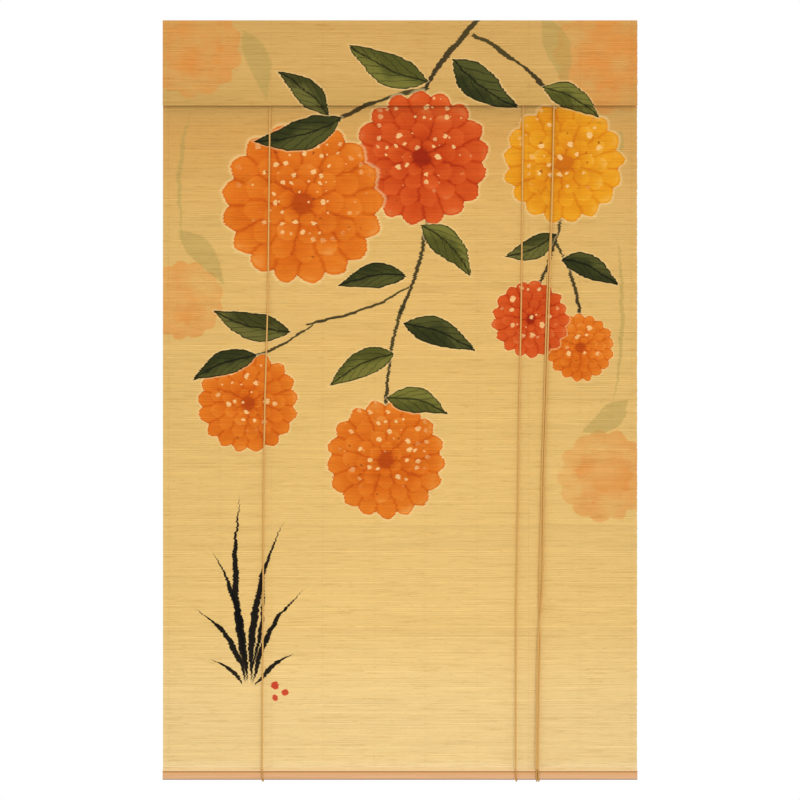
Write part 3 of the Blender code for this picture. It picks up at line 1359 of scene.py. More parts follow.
@dataclass(frozen=True)
class BattenFinish:
    """Pale planed wood, a little pink, with a line of painted shade under its upper edge and
    painted shade along its foot.

    An edge is how far from the batten's top, or from its foot, a tone begins and is full.
    """

    light: Triple = tint(225, 176, 130)
    dark: Triple = tint(214, 164, 114)
    blush: Triple = tint(232, 166, 126)
    top: Triple = tint(243, 205, 148)
    # Painted shade: the dark line where the batten meets the cloth.
    line: Triple = tint(176, 128, 72)
    under_line: Triple = tint(220, 162, 98)
    # Painted shade along the rounded foot.
    foot: Triple = tint(140, 88, 34)
    grain: Triple = (6.0, 420.0, 420.0)
    sway: Triple = (2.2, 30.0, 30.0)
    blotch: Triple = (24.0, 90.0, 110.0)
    pores: Triple = (60.0, 2200.0, 2200.0)
    bend: float = 9.0
    under_line_edge: Place = (0.0130, 0.0068)
    shade_line_edge: Place = (0.0067, 0.0051)
    top_edge: Place = (0.0030, 0.0022)
    foot_shade_edge: Place = (0.0026, 0.0012)
    relief: float = 0.00008

    def material(self, low: float, high: float) -> bpy.types.Material:
        """The wood of a strip between two heights.

        Args:
            low: the strip's lower edge.
            high: its upper edge.

        Returns:
            The finish.
        """
        surface = Surface("batten_wood", {"Specular IOR Level": 0.35})
        place = surface.place()
        up = place.parts()[2]
        sway, blotch, pores = [surface.cloudy(place * cells, 1.0)
                               for cells in (self.sway, self.blotch, self.pores)]
        bent = place * self.grain + surface.point(0.0, 0.0, sway * self.bend)
        grain = surface.cloudy(bent, 1.0, 3.0)
        colour = surface.mix(grain.rise(0.32, 0.66), self.dark, self.light)
        colour = surface.mix(blotch.rise(0.48, 0.70) * 0.5, colour, self.blush)
        colour = colour * pores.rise(0.44, 0.26, 1.0, 0.86)
        # Under the top edge: an ochre band of the wood, a line of painted shade, and a lighter top
        # edge.
        for tone, (start, end) in ((self.under_line, self.under_line_edge),
                                   (self.line, self.shade_line_edge), (self.top, self.top_edge)):
            colour = surface.mix(up.rise(high - start, high - end), colour, tone)
        # Painted shade along the foot.
        start, end = self.foot_shade_edge
        colour = surface.mix(up.rise(low + start, low + end), colour, self.foot)
        surface.dress(colour, grain.times_plus(0.2, 0.38), grain * 0.6 + pores * 0.4, self.relief)
        return surface.material


@dataclass(frozen=True)
class CordFinish:
    """Tan twisted cord, with painted shade in the grooves between its strands."""

    light: Triple = tint(232, 182, 99)
    dark: Triple = tint(172, 116, 46)
    batten_shade: Triple = (0.84, 0.79, 0.72)
    batten_shade_edge: float = 0.003
    groove_shade: Place = (-0.1, -0.9)
    groove_shade_depth: float = 0.65
    fluff: Place = (0.62, 0.34)
    fluff_dark: float = 0.30
    fluff_cells: float = 900.0
    relief: float = 0.00010

    def material(self, sizes: BlindSizes) -> bpy.types.Material:
        """The cord's finish, with painted shade where it bends over the front of the batten.

        Args:
            sizes: the sizes that the pieces share.

        Returns:
            The finish.
        """
        surface = Surface("tan_cord", {"Specular IOR Level": 0.25, "Sheen Weight": 0.15})
        fluff = surface.cloudy(surface.place(), self.fluff_cells, 3.0)
        # Painted shade in the grooves between the strands, plus a random fluff tone.
        groove_shade = surface.own("crest").rise(*self.groove_shade)
        shade = groove_shade.times_plus(self.groove_shade_depth, fluff.rise(*self.fluff) * self.fluff_dark)
        colour = surface.mix(shade, self.light, self.dark)
        _, depth, up = surface.place().parts()
        high = sizes.batten_height - sizes.drop
        front = depth.rise(sizes.batten_back - sizes.batten_depth / 2, sizes.batten_lane)
        # Painted shade on the cord where it passes over the batten's front face.
        batten_shade_mask = up.rise(high + self.batten_shade_edge, high - self.batten_shade_edge) * front
        colour = surface.mix(batten_shade_mask, colour, colour * self.batten_shade)
        surface.dress(colour, fluff.times_plus(0.2, 0.7), fluff, self.relief)
        return surface.material


# ---------------------------------------------------------------------------------------------
# Cloth
# ---------------------------------------------------------------------------------------------


@dataclass(frozen=True)
class Weave:
    """How splints and warp threads make the cloth."""

    splint: float = 0.0022
    splint_spread: float = 0.26
    thickness: float = 0.00122
    wave: float = 0.0012
    thread: float = 0.00034
    thread_columns: int = 10
    thread_margin: float = 0.012
    pair_gap: float = 0.0007
    stations: int = 11
    sides: int = 8


class ClothRecipe(Recipe):
    """What the splints and the warp threads share: where the rows lie along the hang line."""

    bulk: float = 0.07
    overlap: float = 1.07
    wander_cells: Place = (5.5, 24.0)
    calm_edge: float = 0.03

    def __init__(self, name: str) -> None:
        """Start the tree and lay its rows.

        Args:
            name: the tree's name.
        """
        super().__init__(name)
        self.width = self.size("Cloth Width")
        self.mean = self.size("Mean Splint")
        self.spread = self.size("Splint Spread")
        self.thickness = self.size("Thickness")
        self.wave = self.size("Wave Height")
        self.seed = self.size("Seed", "Int")
        self.rows = self._lay_rows()

    def _lay_rows(self) -> bpy.types.NodeSocket:
        """A point for each splint, at its place on the line, with its width and its way.

        Returns:
            The points.
        """
        length = self.number("GeometryNodeCurveLength", sockets={"Curve": self.curve})
        count = self.maths("ROUND", length / self.mean)
        points = self.node("GeometryNodePoints", sockets={"Count": count}).outputs[0]
        share = self.chance(1).times_plus(self.spread, 1.0)
        tally = self.node("GeometryNodeAccumulateField", {"data_type": "FLOAT"}, {"Value": share})
        before = Wire(self, tally.outputs["Trailing"])
        unit = length / Wire(self, tally.outputs["Total"])
        row = share.times_plus(0.5, before) * unit
        points = self.keep(points, "row", row)
        points = self.keep(points, "splint", share * unit)
        points = self.keep(points, "line_length", length)
        sample = self.node("GeometryNodeSampleCurve", {"mode": "LENGTH"},
                           {"Curves": self.curve, "Length": self.own("row")})
        points = self.keep(points, "way", Arrow(self, sample.outputs["Tangent"]), "FLOAT_VECTOR")
        sockets = {"Geometry": points, "Position": sample.outputs["Position"]}
        points = self.node("GeometryNodeSetPosition", sockets=sockets).outputs[0]
        height = self.position().parts()[2]
        return self.keep(points, "height", height)

    def chance(self, shift: int) -> Wire:
        """A random number from -1 to 1 for each row.

        Args:
            shift: what sets this draw apart from the cloth's others.

        Returns:
            The random number.
        """
        index = self.number("GeometryNodeInputIndex")
        sockets = {"Min_001": -1.0, "Max_001": 1.0, "ID": index, "Seed": self.seed + shift}
        return self.number("FunctionNodeRandomValue", {"data_type": "FLOAT"}, sockets, "Value_001")

    def by_turns(self, even: float, odd: float) -> Wire:
        """One number for the even rows and another for the odd ones."""
        return (self.number("GeometryNodeInputIndex") * 0.5).fraction().rise(0.1, 0.4, even, odd)

    def thick(self) -> Wire:
        """How thick each row's splint is."""
        return self.own("bulk").times_plus(self.bulk, 1.0) * self.thickness

    def sway(self, geometry: bpy.types.NodeSocket) -> bpy.types.NodeSocket:
        """Let the rows wander a little up and down the cloth, neighbours together.

        Args:
            geometry: the rows, woven.

        Returns:
            The rows in their new places.
        """
        across = self.position().parts()[0]
        row = self.own("row")
        aside, down = self.wander_cells
        wander = self.cloudy(self.point(across * aside, self.seed * 3.7, row * down), 1.0, 1.0)
        edge = self.maths("MINIMUM", row, self.own("line_length") - row)
        calm = edge.rise(0.0, self.calm_edge)
        step = wander.times_plus(2.0, -1.0) * calm * self.wave
        return self.shift(geometry, self.own_arrow("way") * step)


class SplintRecipe(ClothRecipe):
    """Splints laid side by side along a hang line."""

    trim: Place = (0.0006, 0.9992)
    stagger: float = 0.0003
    lift: float = 0.00005
    front_map: Place = (0.60, 0.005)
    back_map: Place = (0.38, 0.615)
    fall_map: Place = (-0.99, 0.995)

    def __init__(self, finishes: Sequence[tuple[float, bpy.types.Material]]) -> None:
        """Write the tree.

        Args:
            finishes: the cloth's materials, each with the top of its band.
        """
        super().__init__("splints")
        stations = self.size("Stations", "Int")
        sides = self.size("Sides", "Int")
        rows = self._draw_chances()
        cloth = self.realize(self._instances(rows, self._blank(stations, sides)))
        cloth = self._lay_map(self.sway(cloth))
        self.finish(cloth, finishes)

    def _draw_chances(self) -> bpy.types.NodeSocket:
        """Give each row what varies from splint to splint.

        Returns:
            The rows with those numbers.
        """
        rows = self.rows
        for shift, name in enumerate(("tone", "slip", "bulk", "trim", "nudge", "turn"), 2):
            rows = self.keep(rows, name, self.chance(shift))
        side = self.by_turns(-0.5, 0.5)
        tone = self.own("turn").times_plus(0.6, 1.0) * side + self.own("tone") * 0.5
        return self.keep(rows, "tone", tone)

    def _blank(self, stations: Wire, sides: Wire) -> bpy.types.NodeSocket:
        """One splint along X, a unit high and thick, with its own coordinates.

        Args:
            stations: how many points it has along its length.
            sides: how many sides its section has.

        Returns:
            Its mesh.
        """
        half = self.width * 0.5
        ends = {"Start": self.point(half * -1.0, 0.0, 0.0), "End": self.point(half, 0.0, 0.0)}
        line = self.node("GeometryNodeCurvePrimitiveLine", sockets=ends).outputs[0]
        line = self.node("GeometryNodeResampleCurve", {"mode": "COUNT"},
                         {"Curve": line, "Count": stations}).outputs[0]
        blank = self.sweep(line, self.ring(sides, 0.5))
        _, depth, up = self.position().parts()
        blank = self.keep(blank, "section", up)
        blank = self.keep(blank, "face_side", depth.rise(0.5, -0.5))
        blank = self.keep(blank, "outer", depth.rise(0.001, -0.001), domain="FACE")
        across = self.arrow("GeometryNodeInputNormal").parts()[0]
        return self.smooth(blank, self.under(abs(across), 0.5))

    def _instances(self, rows: bpy.types.NodeSocket,
                   blank: bpy.types.NodeSocket) -> bpy.types.NodeSocket:
        """The blank at each row, turned along the cloth and scaled to its splint.

        Args:
            rows: a point for each splint.
            blank: the unit splint.

        Returns:
            The splints.
        """
        up = self.own_arrow("way") * -1.0
        turn = self.node("FunctionNodeAlignRotationToVector", {"axis": "Z", "pivot_axis": "X"},
                         {"Vector": up}).outputs[0]
        length = self.own("trim").times_plus(*self.trim)
        size = self.point(length, self.thick(), self.own("splint") * self.overlap)
        nudge = self.point(self.own("trim") * self.stagger, self.own("nudge") * self.lift, 0.0)
        rows = self.shift(rows, nudge)
        sockets = {"Points": rows, "Instance": blank, "Rotation": turn, "Scale": size}
        return self.node("GeometryNodeInstanceOnPoints", sockets=sockets).outputs[0]

    def _lay_map(self, cloth: bpy.types.NodeSocket) -> bpy.types.NodeSocket:
        """Lay out the front and the back of the cloth side by side on one flat map.

        Args:
            cloth: the splints.

        Returns:
            The splints with their map.
        """
        across = self.position().parts()[0] / self.width + 0.5
        down = self.own("section") * self.own("splint") + self.own("row")
        down = down / self.own("line_length")
        front, back = across.times_plus(*self.front_map), across.times_plus(*self.back_map)
        aside = self.blend(self.own("outer"), back, front)
        place = self.point(aside, down.times_plus(*self.fall_map), 0.0)
        return self.keep(cloth, BAKE_MAP, place, "FLOAT2", "CORNER")


class WarpRecipe(ClothRecipe):
    """Pairs of fine threads that hold the splints, one in front where the other is behind."""

    sides: int = 3
    spacing: Place = (0.6, -0.3)

    def __init__(self, finishes: Sequence[tuple[float, bpy.types.Material]]) -> None:
        """Write the tree.

        Args:
            finishes: the cloth's materials, each with the top of its band.
        """
        super().__init__("warp_threads")
        self.thread = self.size("Thread")
        self.columns = self.size("Columns", "Int")
        self.margin = self.size("Side Margin")
        pair_gap = self.size("Pair Gap")
        pair = self.node("GeometryNodeJoinGeometry")
        for side in (-1.0, 1.0):
            self.tree.links.new(self._strand(side, pair_gap * (side / 2)), pair.inputs[0])
        self.finish(self.sway(self._spread(pair.outputs[0])), finishes)

    def _strand(self, side: float, aside: Wire) -> bpy.types.NodeSocket:
        """One thread over and under the rows.

        Args:
            side: 1 or -1, one for each of the pair, which lie on opposite faces of a row.
            aside: how far beside the pair's middle it runs.

        Returns:
            The thread's mesh.
        """
        rows = self.keep(self.rows, "bulk", self.chance(4))
        rows = self.keep(rows, "face", self.by_turns(-side, side))
        twice = self.node("GeometryNodeDuplicateElements", {"domain": "POINT"},
                          {"Geometry": rows, "Amount": 2})
        place = Wire(self, twice.outputs["Duplicate Index"]).times_plus(*self.spacing)
        lift = (self.thick() + self.thread) * 0.5
        way = self.own_arrow("way")
        normal = self.vector_maths("CROSS_PRODUCT", way, (1.0, 0.0, 0.0))
        offset = normal * (lift * self.own("face")) + way * (self.own("splint") * place)
        rows = self.shift(twice.outputs[0], offset + self.point(aside, 0.0, 0.0))
        line = self.node("GeometryNodePointsToCurves", sockets={"Points": rows}).outputs[0]
        return self.sweep(line, self.ring(self.sides, self.thread * 0.5))

    def _spread(self, pair: bpy.types.NodeSocket) -> bpy.types.NodeSocket:
        """The pair repeated across the width.

        Args:
            pair: two threads side by side.

        Returns:
            All the pairs.
        """
        inset = self.width * 0.5 - self.margin
        step = inset * 2.0 / (self.columns - 1.0)
        sockets = {"Count": self.columns, "Start Location": self.point(inset * -1.0, 0.0, 0.0),
                   "Offset": self.point(step, 0.0, 0.0)}
        spots = self.node("GeometryNodeMeshLine", {"mode": "OFFSET"}, sockets).outputs[0]
        sockets = {"Points": spots, "Instance": pair}
        columns = self.node("GeometryNodeInstanceOnPoints", sockets=sockets).outputs[0]
        threads = self.realize(columns)
        threads = self.keep(threads, "face_side", self.position().parts()[1].rise(0.0002, -0.0002))
        return self.smooth(threads)


@dataclass
class SplintCloth:
    """One cut length of splint cloth, with its warp threads."""

    node: str
    line: list[Place]
    sizes: BlindSizes
    weave: Weave
    seed: int
    splints: bpy.types.Object | None = None
    threads: bpy.types.Object | None = None

    @property
    def flat(self) -> Place:
        """The width and length that it was cut to."""
        return self.sizes.width, path_length([Vector(point) for point in self.line])

    def _chain(self) -> bpy.types.Mesh:
        """The hang line as a chain of edges."""
        points = [Vector((0.0, depth, up)) for depth, up in self.line]
        return chain_mesh(f"{self.node}_line", [(points, False)])

    def build(self, splints: SplintRecipe, threads: WarpRecipe) -> None:
        """Lay the splints and weave the threads.

        Args:
            splints: makes the splints.
            threads: makes the warp threads.
        """
        weave = self.weave
        shared = {"Cloth Width": self.sizes.width, "Mean Splint": weave.splint,
                  "Splint Spread": weave.splint_spread, "Thickness": weave.thickness,
                  "Wave Height": weave.wave, "Seed": self.seed}
        own = {"Stations": weave.stations, "Sides": weave.sides}
        self.splints = splints.make(f"{self.node}_splints", self._chain(), shared | own)
        own = {"Thread": weave.thread, "Columns": weave.thread_columns,
               "Side Margin": weave.thread_margin, "Pair Gap": weave.pair_gap}
        self.threads = threads.make(f"{self.node}_warp_threads", self._chain(), shared | own)

    def dress(self) -> None:
        """Attach both pieces to the body and hide the frame's own part."""
        for piece in (self.splints, self.threads):
            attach(piece, BODY)
        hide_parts(self.node)
        self.flat


# ---------------------------------------------------------------------------------------------
# Batten
# ---------------------------------------------------------------------------------------------


@dataclass
class FootBatten:
    """The planed strip along the foot: eased above, rounded underneath for the cords."""

    sizes: BlindSizes
    top_radius: float = 0.0010
    end_ease: float = 0.0006
    stations: int = 24
    piece: bpy.types.Object | None = None

    def _outline(self, inset: float) -> list[Place]:
        """The section, drawn in by inset, as (towards the back, up).

        Args:
            inset: how far it is drawn in.

        Returns:
            Its points.
        """
        back = self.sizes.batten_back - inset
        front = self.sizes.batten_back - self.sizes.batten_depth + inset
        low = -self.sizes.drop + inset
        high = -self.sizes.drop + self.sizes.batten_height - inset
        foot, top = self.sizes.foot_radius - inset, self.top_radius - inset
        points = arc((front + foot, low + foot), foot, 180, 270, 8)
        points += arc((back - foot, low + foot), foot, 270, 360, 8)
        points += arc((back - top, high - top), top, 0, 90, 4)
        return points + arc((front + top, high - top), top, 90, 180, 4)

    def build(self, finish: BattenFinish) -> None:
        """Loft the section from end to end.

        Args:
            finish: the wood.
        """
        half = self.sizes.width / 2
        inner = half - self.end_ease
        middle = [(-inner + 2 * inner * step / self.stations, 0.0)
                  for step in range(self.stations + 1)]
        rings = [(-half, self.end_ease), *middle, (half, self.end_ease)]
        shape = bmesh.new()
        loops = [[shape.verts.new((across, *place)) for place in self._outline(inset)]
                 for across, inset in rings]
        for loop, following in zip(loops, loops[1:]):
            for index, vert in enumerate(loop):
                after = (index + 1) % len(loop)
                shape.faces.new((vert, loop[after], following[after], following[index]))
        for end in (loops[0], loops[-1]):
            shape.faces.new(end)
        bmesh.ops.recalc_face_normals(shape, faces=shape.faces)
        mesh = bpy.data.meshes.new("foot_batten")
        shape.to_mesh(mesh)
        shape.free()
        mesh.shade_smooth()
        mesh.set_sharp_from_angle(angle=math.radians(35))
        low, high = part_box("bottom_batten")
        mesh.materials.append(finish.material(low.z, high.z))
        self.piece = put("foot_batten", mesh)

    def dress(self) -> None:
        """Attach the piece to the body and hide the frame's batten."""
        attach(self.piece, BODY)
        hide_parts("bottom_batten")


# ---------------------------------------------------------------------------------------------
# Cords
# ---------------------------------------------------------------------------------------------

CORD_TURN = math.radians(7)
CORD_SIDES = 9
STRANDS = 3


def tangent_at(before: Vector, here: Vector, after: Vector, knots: Sequence[float],
               span: float) -> Vector:
    """The slope of a centripetal curve at its middle point, for a stretch as long as span.

    Args:
        before: the point before.
        here: the middle point.
        after: the point after.
        knots: the curve's knots at the three.
        span: the stretch's length in knots.

    Returns:
        The slope.
    """
    first, second = knots[1] - knots[0], knots[2] - knots[1]
    slope = (here - before) / first - (after - before) / (first + second) + (after - here) / second
    return slope * span


def hermite(start: Vector, end: Vector, leaving: Vector, arriving: Vector, share: float) -> Vector:
    """A point of the cubic between two points with the given slopes.

    Args:
        start: the first point.
        end: the second one.
        leaving: the slope at the first.
        arriving: the slope at the second.
        share: the share of the way.

    Returns:
        The point.
    """
    square, cube = share ** 2, share ** 3
    return (start * (2 * cube - 3 * square + 1) + leaving * (cube - 2 * square + share)
            + end * (3 * square - 2 * cube) + arriving * (cube - square))


def smooth_route(points: Sequence[Vector]) -> list[Vector]:
    """A smooth curve through a route's own points.

    Args:
        points: the route's points.

    Returns:
        Points of the curve, closer together where it turns.
    """
    padded = [2 * points[0] - points[1], *points, 2 * points[-1] - points[-2]]
    found = []
    for before, start, end, after in zip(padded, padded[1:], padded[2:], padded[3:]):
        knots = [0.0]
        for first, second in ((before, start), (start, end), (end, after)):
            knots.append(knots[-1] + (second - first).length ** 0.5)
        leaving = tangent_at(before, start, end, knots[0:3], knots[2] - knots[1])
        arriving = tangent_at(start, end, after, knots[1:4], knots[2] - knots[1])
        steps = max(2, math.ceil(leaving.angle(arriving) / CORD_TURN))
        for step in range(steps):
            found.append(hermite(start, end, leaving, arriving, step / steps))
    return found + [points[-1]]


class CordRecipe(Recipe):
    """A cord of three strands twisted along chains of edges."""

    crest_height: float = 0.09
    swell: float = 1.02

    def __init__(self, material: bpy.types.Material) -> None:
        """Write the tree.

        Args:
            material: the cord's finish.
        """
        super().__init__("twisted_cord")
        radius = self.size("Radius")
        lay = self.size("Lay Length")
        spacing = self.size("Station Spacing")
        curve = self.node("GeometryNodeResampleCurve", {"mode": "LENGTH"},
                          {"Curve": self.curve, "Length": spacing}).outputs[0]
        run = self.number("GeometryNodeSplineParameter", output="Length")
        curve = self.node("GeometryNodeSetCurveTilt",
                          sockets={"Curve": curve, "Tilt": run / lay * math.tau}).outputs[0]
        cord = self.sweep(curve, self._section(radius))
        cord = self.keep(cord, "height", self.position().parts()[2])
        self.finish(self.smooth(cord), [(1.0, material)])

    def _section(self, radius: Wire) -> bpy.types.NodeSocket:
        """A ring with three lobes, which knows where its crests are.

        Args:
            radius: the cord's radius.

        Returns:
            The ring.
        """
        ring = self.ring(CORD_SIDES, radius)
        across, up, _ = self.position().parts()
        lobes = (self.maths("ARCTAN2", up, across) * float(STRANDS) + math.pi / 2).sine()
        ring = self.keep(ring, "crest", lobes)
        reach = self.own("crest").times_plus(self.crest_height, self.swell)
        sockets = {"Geometry": ring, "Position": self.position() * reach}
        return self.node("GeometryNodeSetPosition", sockets=sockets).outputs[0]


@dataclass(frozen=True)
class CordRun:
    """The bends that both cords share."""

    sizes: BlindSizes
    fold: ValanceFold
    bend: float = 0.0064
    head_bend: float = 0.0080
    head_run: float = 2.5
    head_space: float = 0.0042
    pull_lean: float = 0.70
    foot_shift: float = 0.0025
    tuck: float = 0.0045

    @property
    def back_lane(self) -> float:
        """Depth of a cord between the panel and the valance's tucked leg."""
        return self.fold.back / 2

    def head(self, order: int) -> float:
        """Height of a level run in the fold: 0 for the upper cord, 1 for the one under it.

        Args:
            order: which of the runs.

        Returns:
            The height.
        """
        sizes = self.sizes
        top = -sizes.cloth - sizes.gap - sizes.cord_radius
        return top - order * (sizes.cord + sizes.gap)

    def head_turn(self, across: float, head: float, first: int, last: int) -> list[Vector]:
        """A quarter turn in the fold between a cord's level run and an upright one.

        Args:
            across: where the upright one is.
            head: how high the level one is.
            first: the angle at which the turn starts, in degrees.
            last: the angle at which it ends.

        Returns:
            The turn's points, with one on each run.
        """
        side = 1 if first == 180 else -1
        centre = (across + side * self.head_bend, head - self.head_bend)
        turn = arc(centre, self.head_bend, first, last, 3)
        level = (across + side * self.head_run * self.head_bend, head)
        upright = (across, head - self.head_run * self.head_bend)
        way = [upright, *turn, level] if first == 180 else [level, *turn, upright]
        return [Vector((place, self.sizes.front_lane, up)) for place, up in way]

    def under_batten(self, front: float, back: float) -> list[Vector]:
        """A cord's way from the batten's front face, under it and up behind the cloth.

        Args:
            front: where it is in front, across the blind.
            back: where it is behind.

        Returns:
            Its points.
        """
        sizes = self.sizes
        low = -sizes.drop + sizes.foot_radius
        top = -sizes.drop + sizes.batten_height
        way = [(sizes.batten_lane, top), (sizes.batten_lane, top - sizes.batten_height / 2)]
        way += arc((sizes.batten_lane + self.bend, low), self.bend, 180, 270, 4)
        way += arc((self.back_lane - self.bend, low), self.bend, 270, 360, 4)
        way.append((self.back_lane, -sizes.drop + sizes.batten_height / 2))
        shares = [min(index / (len(way) - 2), 1.0) for index in range(len(way))]
        return [Vector((front + (back - front) * share, depth, up))
                for share, (depth, up) in zip(shares, way)]

    def lift(self, track: Sequence[Place], head: float) -> list[Vector]:
        """A lift cord from the fold down behind the cloth, under the batten and up in front.

        Args:
            track: its places on the cloth's front, as (across, up), from the top.
            head: the height of its level run in the fold.

        Returns:
            The route's points, up to the end of its first head turn.
        """
        sizes = self.sizes
        top, foot = track[0][0], track[-1][0]
        shifted = foot + self.foot_shift
        route = [Vector((top, self.back_lane, -down)) for down in (self.tuck, self.fold.tuck)]
        for share in (0.25, 0.5, 0.75):
            across = top + (shifted - top) * share
            route.append(Vector((across, self.back_lane, -sizes.drop * share)))
        route += reversed(self.under_batten(foot, shifted))
        for across, up in reversed(track):
            share = up / track[-1][1]
            depth = sizes.front_lane + (sizes.batten_lane - sizes.front_lane) * share
            route.append(Vector((across, depth, up)))
        below = head - 2 * self.head_run * self.head_bend
        route.append(Vector((top, sizes.front_lane, below)))
        return route + self.head_turn(top, head, 180, 90)

    def pull(self, strand: Sequence[Triple], head: float, lane: float, end: Vector) -> list[Vector]:
        """A pull strand from the head down to the batten, under it and up to the knot.

        Args:
            strand: its places in front of the cloth, from the top.
            head: the height of its level run in the fold.
            lane: how far aside of the strand's first place it leaves the head.
            end: where it goes into the knot.

        Returns:
            The route's points from its head turn on.
        """
        sizes = self.sizes
        first, last = strand[0], strand[-1]
        route = self.head_turn(first[0] + lane, head, 90, 0)
        depth = sizes.front_lane + (first[1] - sizes.front_lane) * self.pull_lean
        route.append(Vector((first[0] + lane * self.pull_lean, depth, -sizes.valance_drop / 2)))
        route += [Vector(point) for point in strand]
        return route + self.under_batten(last[0], last[0] + self.foot_shift) + [end]


@dataclass
class LiftCord:
    """A cord from the fold, round the cloth, over the fold and down as one strand of the pull."""

    name: str
    node: str
    route: list[Vector]
    sizes: BlindSizes
    station: float = 0.0010
    path: list[Vector] = field(default_factory=list)
    piece: bpy.types.Object | None = None

    def build(self, recipe: CordRecipe) -> None:
        """Twist the cord along its route.

        Args:
            recipe: makes twisted cord.
        """
        self.path = smooth_route(self.route)
        values = {"Radius": self.sizes.cord_radius, "Lay Length": self.sizes.cord_lay,
                  "Station Spacing": self.station}
        line = chain_mesh(f"{self.name}_line", [(self.path, False)])
        self.piece = recipe.make(self.name, line, values)

    def dress(self, knot: bpy.types.Object) -> None:
        """Attach the piece to the body and hide the frame's cord.

        Args:
            knot: the knot at its far end; not used.
        """
        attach(self.piece, BODY)
        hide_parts(self.node)
        path_length(self.path)


@dataclass
class PullKnot:
    """The overhand knot that joins the pull's ends behind the batten, with two short tails."""

    sizes: BlindSizes
    lobe: float = 0.00150
    loop_steps: int = 96
    tail: float = 0.014
    tail_root: Triple = (0.0018, 0.0005, 0.0018)
    tail_reach: Triple = (0.55, 0.10, 0.95)
    droop: float = 0.45
    tail_steps: int = 10
    station: float = 0.0004
    piece: bpy.types.Object | None = None

    def _centre(self) -> Vector:
        """The middle of the knot, where the frame has it."""
        low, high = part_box("pull_knot")
        return (low + high) / 2

    def entry(self, side: int) -> Vector:
        """Where a strand goes into the knot: -1 for the outer strand, 1 for the inner one.

        Args:
            side: which strand.

        Returns:
            The place.
        """
        middle = self._centre()
        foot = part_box("pull_knot")[0].z + self.sizes.cord_radius
        reach = self.sizes.cord_radius + self.sizes.gap
        return Vector((middle.x + side * reach, middle.y, foot))

    def _loop(self) -> list[Vector]:
        """The closed turns of the knot, round an axis that points to the back.

        Returns:
            Their points.
        """
        centre = self._centre()
        points = []
        for step in range(self.loop_steps):
            turn = math.tau * step / self.loop_steps
            out, around = 2 + math.cos(3 * turn), 2 * turn - math.pi / 2
            spot = Vector((out * math.cos(around), math.sin(3 * turn), out * math.sin(around)))
            points.append(centre + spot * self.lobe)
        return points

    def _tail(self, side: int) -> list[Vector]:
        """A short end that leaves the knot above and droops to one side.

        Args:
            side: -1 for the left one, 1 for the right one.

        Returns:
            Its points.
        """
        aside, back, up = self.tail_root
        start = self._centre() + Vector((side * aside, side * back, up))
        points = []
        for step in range(self.tail_steps + 1):
            share = step / self.tail_steps
            across, depth, rise = self.tail_reach
            way = Vector((side * across * share ** 1.6, depth * share,
                          rise * share - self.droop * share ** 2))
            points.append(start + way * self.tail)
        return points

    def build(self, recipe: CordRecipe) -> None:
        """Tie the knot.

        Args:
            recipe: makes twisted cord.
        """
        loop = self._loop()
        around = path_length([*loop, loop[0]])
        third = self.sizes.cord_lay / STRANDS
        lay = STRANDS * around / round(around / third)
        chains = [(loop, True), (self._tail(-1), False), (self._tail(1), False)]
        values = {"Radius": self.sizes.cord_radius, "Lay Length": lay,
                  "Station Spacing": self.station}
        self.piece = recipe.make("tied_knot", chain_mesh("knot_line", chains), values)

    def dress(self) -> None:
        """Attach the piece to the body and hide the frame's knot."""
        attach(self.piece, BODY)
        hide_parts("pull_knot")


LEFT_TRACK = [(-0.2740, -0.180), (-0.2765, -0.400), (-0.2785, -0.590), (-0.2845, -0.800),
              (-0.2868, -0.960), (-0.2885, -1.240), (-0.2905, -1.570)]
RIGHT_TRACK = [(0.2595, -0.180), (0.2575, -0.400), (0.2555, -0.590), (0.2510, -0.830),
               (0.2490, -1.000), (0.2450, -1.240), (0.2437, -1.570)]
OUTER_STRAND = [
    (0.3243, -0.0072, -0.180), (0.3190, -0.0085, -0.430), (0.3156, -0.0080, -0.540),
    (0.3110, -0.0073, -0.695), (0.3082, -0.0072, -0.800), (0.3032, -0.0074, -0.958),
    (0.3023, -0.0078, -1.040), (0.3018, -0.0084, -1.125), (0.3006, -0.0096, -1.180),
    (0.2986, -0.0110, -1.221), (0.2948, -0.0118, -1.257), (0.2914, -0.0112, -1.305),
    (0.2888, -0.0104, -1.400), (0.2876, -0.0106, -1.484), (0.2868, -0.0110, -1.570),
]
INNER_STRAND = [
    (0.3243, -0.0031, -0.180), (0.3184, -0.0045, -0.430), (0.3114, -0.0058, -0.540),
    (0.3066, -0.0064, -0.695), (0.3038, -0.0068, -0.800), (0.2988, -0.0070, -0.958),
    (0.2974, -0.0073, -1.040), (0.2950, -0.0077, -1.125), (0.2938, -0.0077, -1.180),
    (0.2932, -0.0076, -1.221), (0.2936, -0.0076, -1.257), (0.2948, -0.0082, -1.305),
    (0.2930, -0.0096, -1.400), (0.2918, -0.0102, -1.484), (0.2910, -0.0110, -1.570),
]


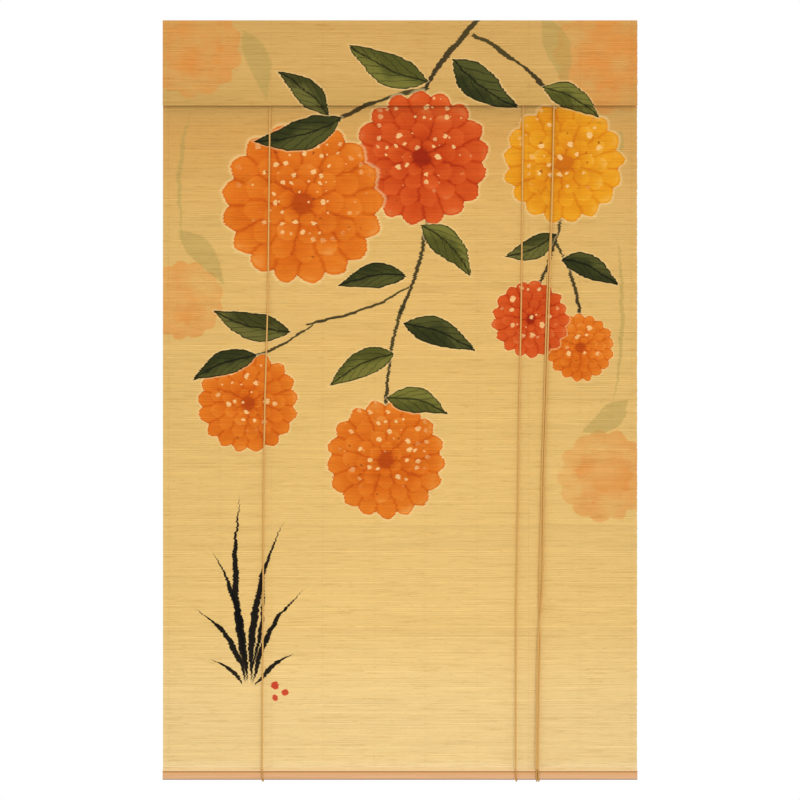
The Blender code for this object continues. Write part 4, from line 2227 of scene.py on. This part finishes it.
def make_cords(sizes: BlindSizes, fold: ValanceFold) -> None:
    """Build the knot and both cords.

    Args:
        sizes: the sizes that the pieces share.
        fold: how the valance folds.
    """
    recipe = CordRecipe(CordFinish().material(sizes))
    knot = PullKnot(sizes)
    knot.build(recipe)
    knot.dress()
    LOG.info("tied_knot: %d faces", len(knot.piece.data.polygons))
    run = CordRun(sizes, fold)
    upper, lower = run.head(0), run.head(1)
    left = run.lift(LEFT_TRACK, upper) + run.pull(OUTER_STRAND, upper, 0.0, knot.entry(-1))
    right = run.lift(RIGHT_TRACK, lower)
    right += run.pull(INNER_STRAND, lower, -run.head_space, knot.entry(1))
    for name, node, route in (("left_lift_cord", "left_cord", left),
                              ("right_lift_cord", "right_cord", right)):
        cord = LiftCord(name, node, route, sizes)
        cord.build(recipe)
        cord.dress(knot.piece)
        LOG.info("%s: %.3f m, %d faces", name, path_length(cord.path),
                 len(cord.piece.data.polygons))


def make_cloth(sizes: BlindSizes, fold: ValanceFold) -> None:
    """Build the panel and the valance.

    Args:
        sizes: the sizes that the pieces share.
        fold: how the valance folds.
    """
    bands = BambooFinish().bands(sizes.drop)
    splints, threads = SplintRecipe(bands), WarpRecipe(bands)
    panel = SplintCloth("panel", PanelHang().line(sizes), sizes, Weave(), seed=11)
    valance = SplintCloth("valance", fold.line(sizes), sizes, Weave(), seed=47)
    for cloth in (panel, valance):
        cloth.build(splints, threads)
        cloth.dress()
        LOG.info("%s: flat %.3f x %.3f m, %d + %d faces", cloth.node, *cloth.flat,
                 len(cloth.splints.data.polygons), len(cloth.threads.data.polygons))


def main() -> None:
    """Build the blind, from the camera and the cords to the cloth."""
    logging.basicConfig(level=logging.INFO, format="%(name)s: %(message)s")
    sizes = BlindSizes.from_frame()
    fold = ValanceFold()
    Studio().build(sizes)
    make_cords(sizes, fold)
    batten = FootBatten(sizes)
    batten.build(BattenFinish())
    batten.dress()
    LOG.info("foot_batten: %d faces", len(batten.piece.data.polygons))
    make_cloth(sizes, fold)


if __name__ == "__main__":
    main()
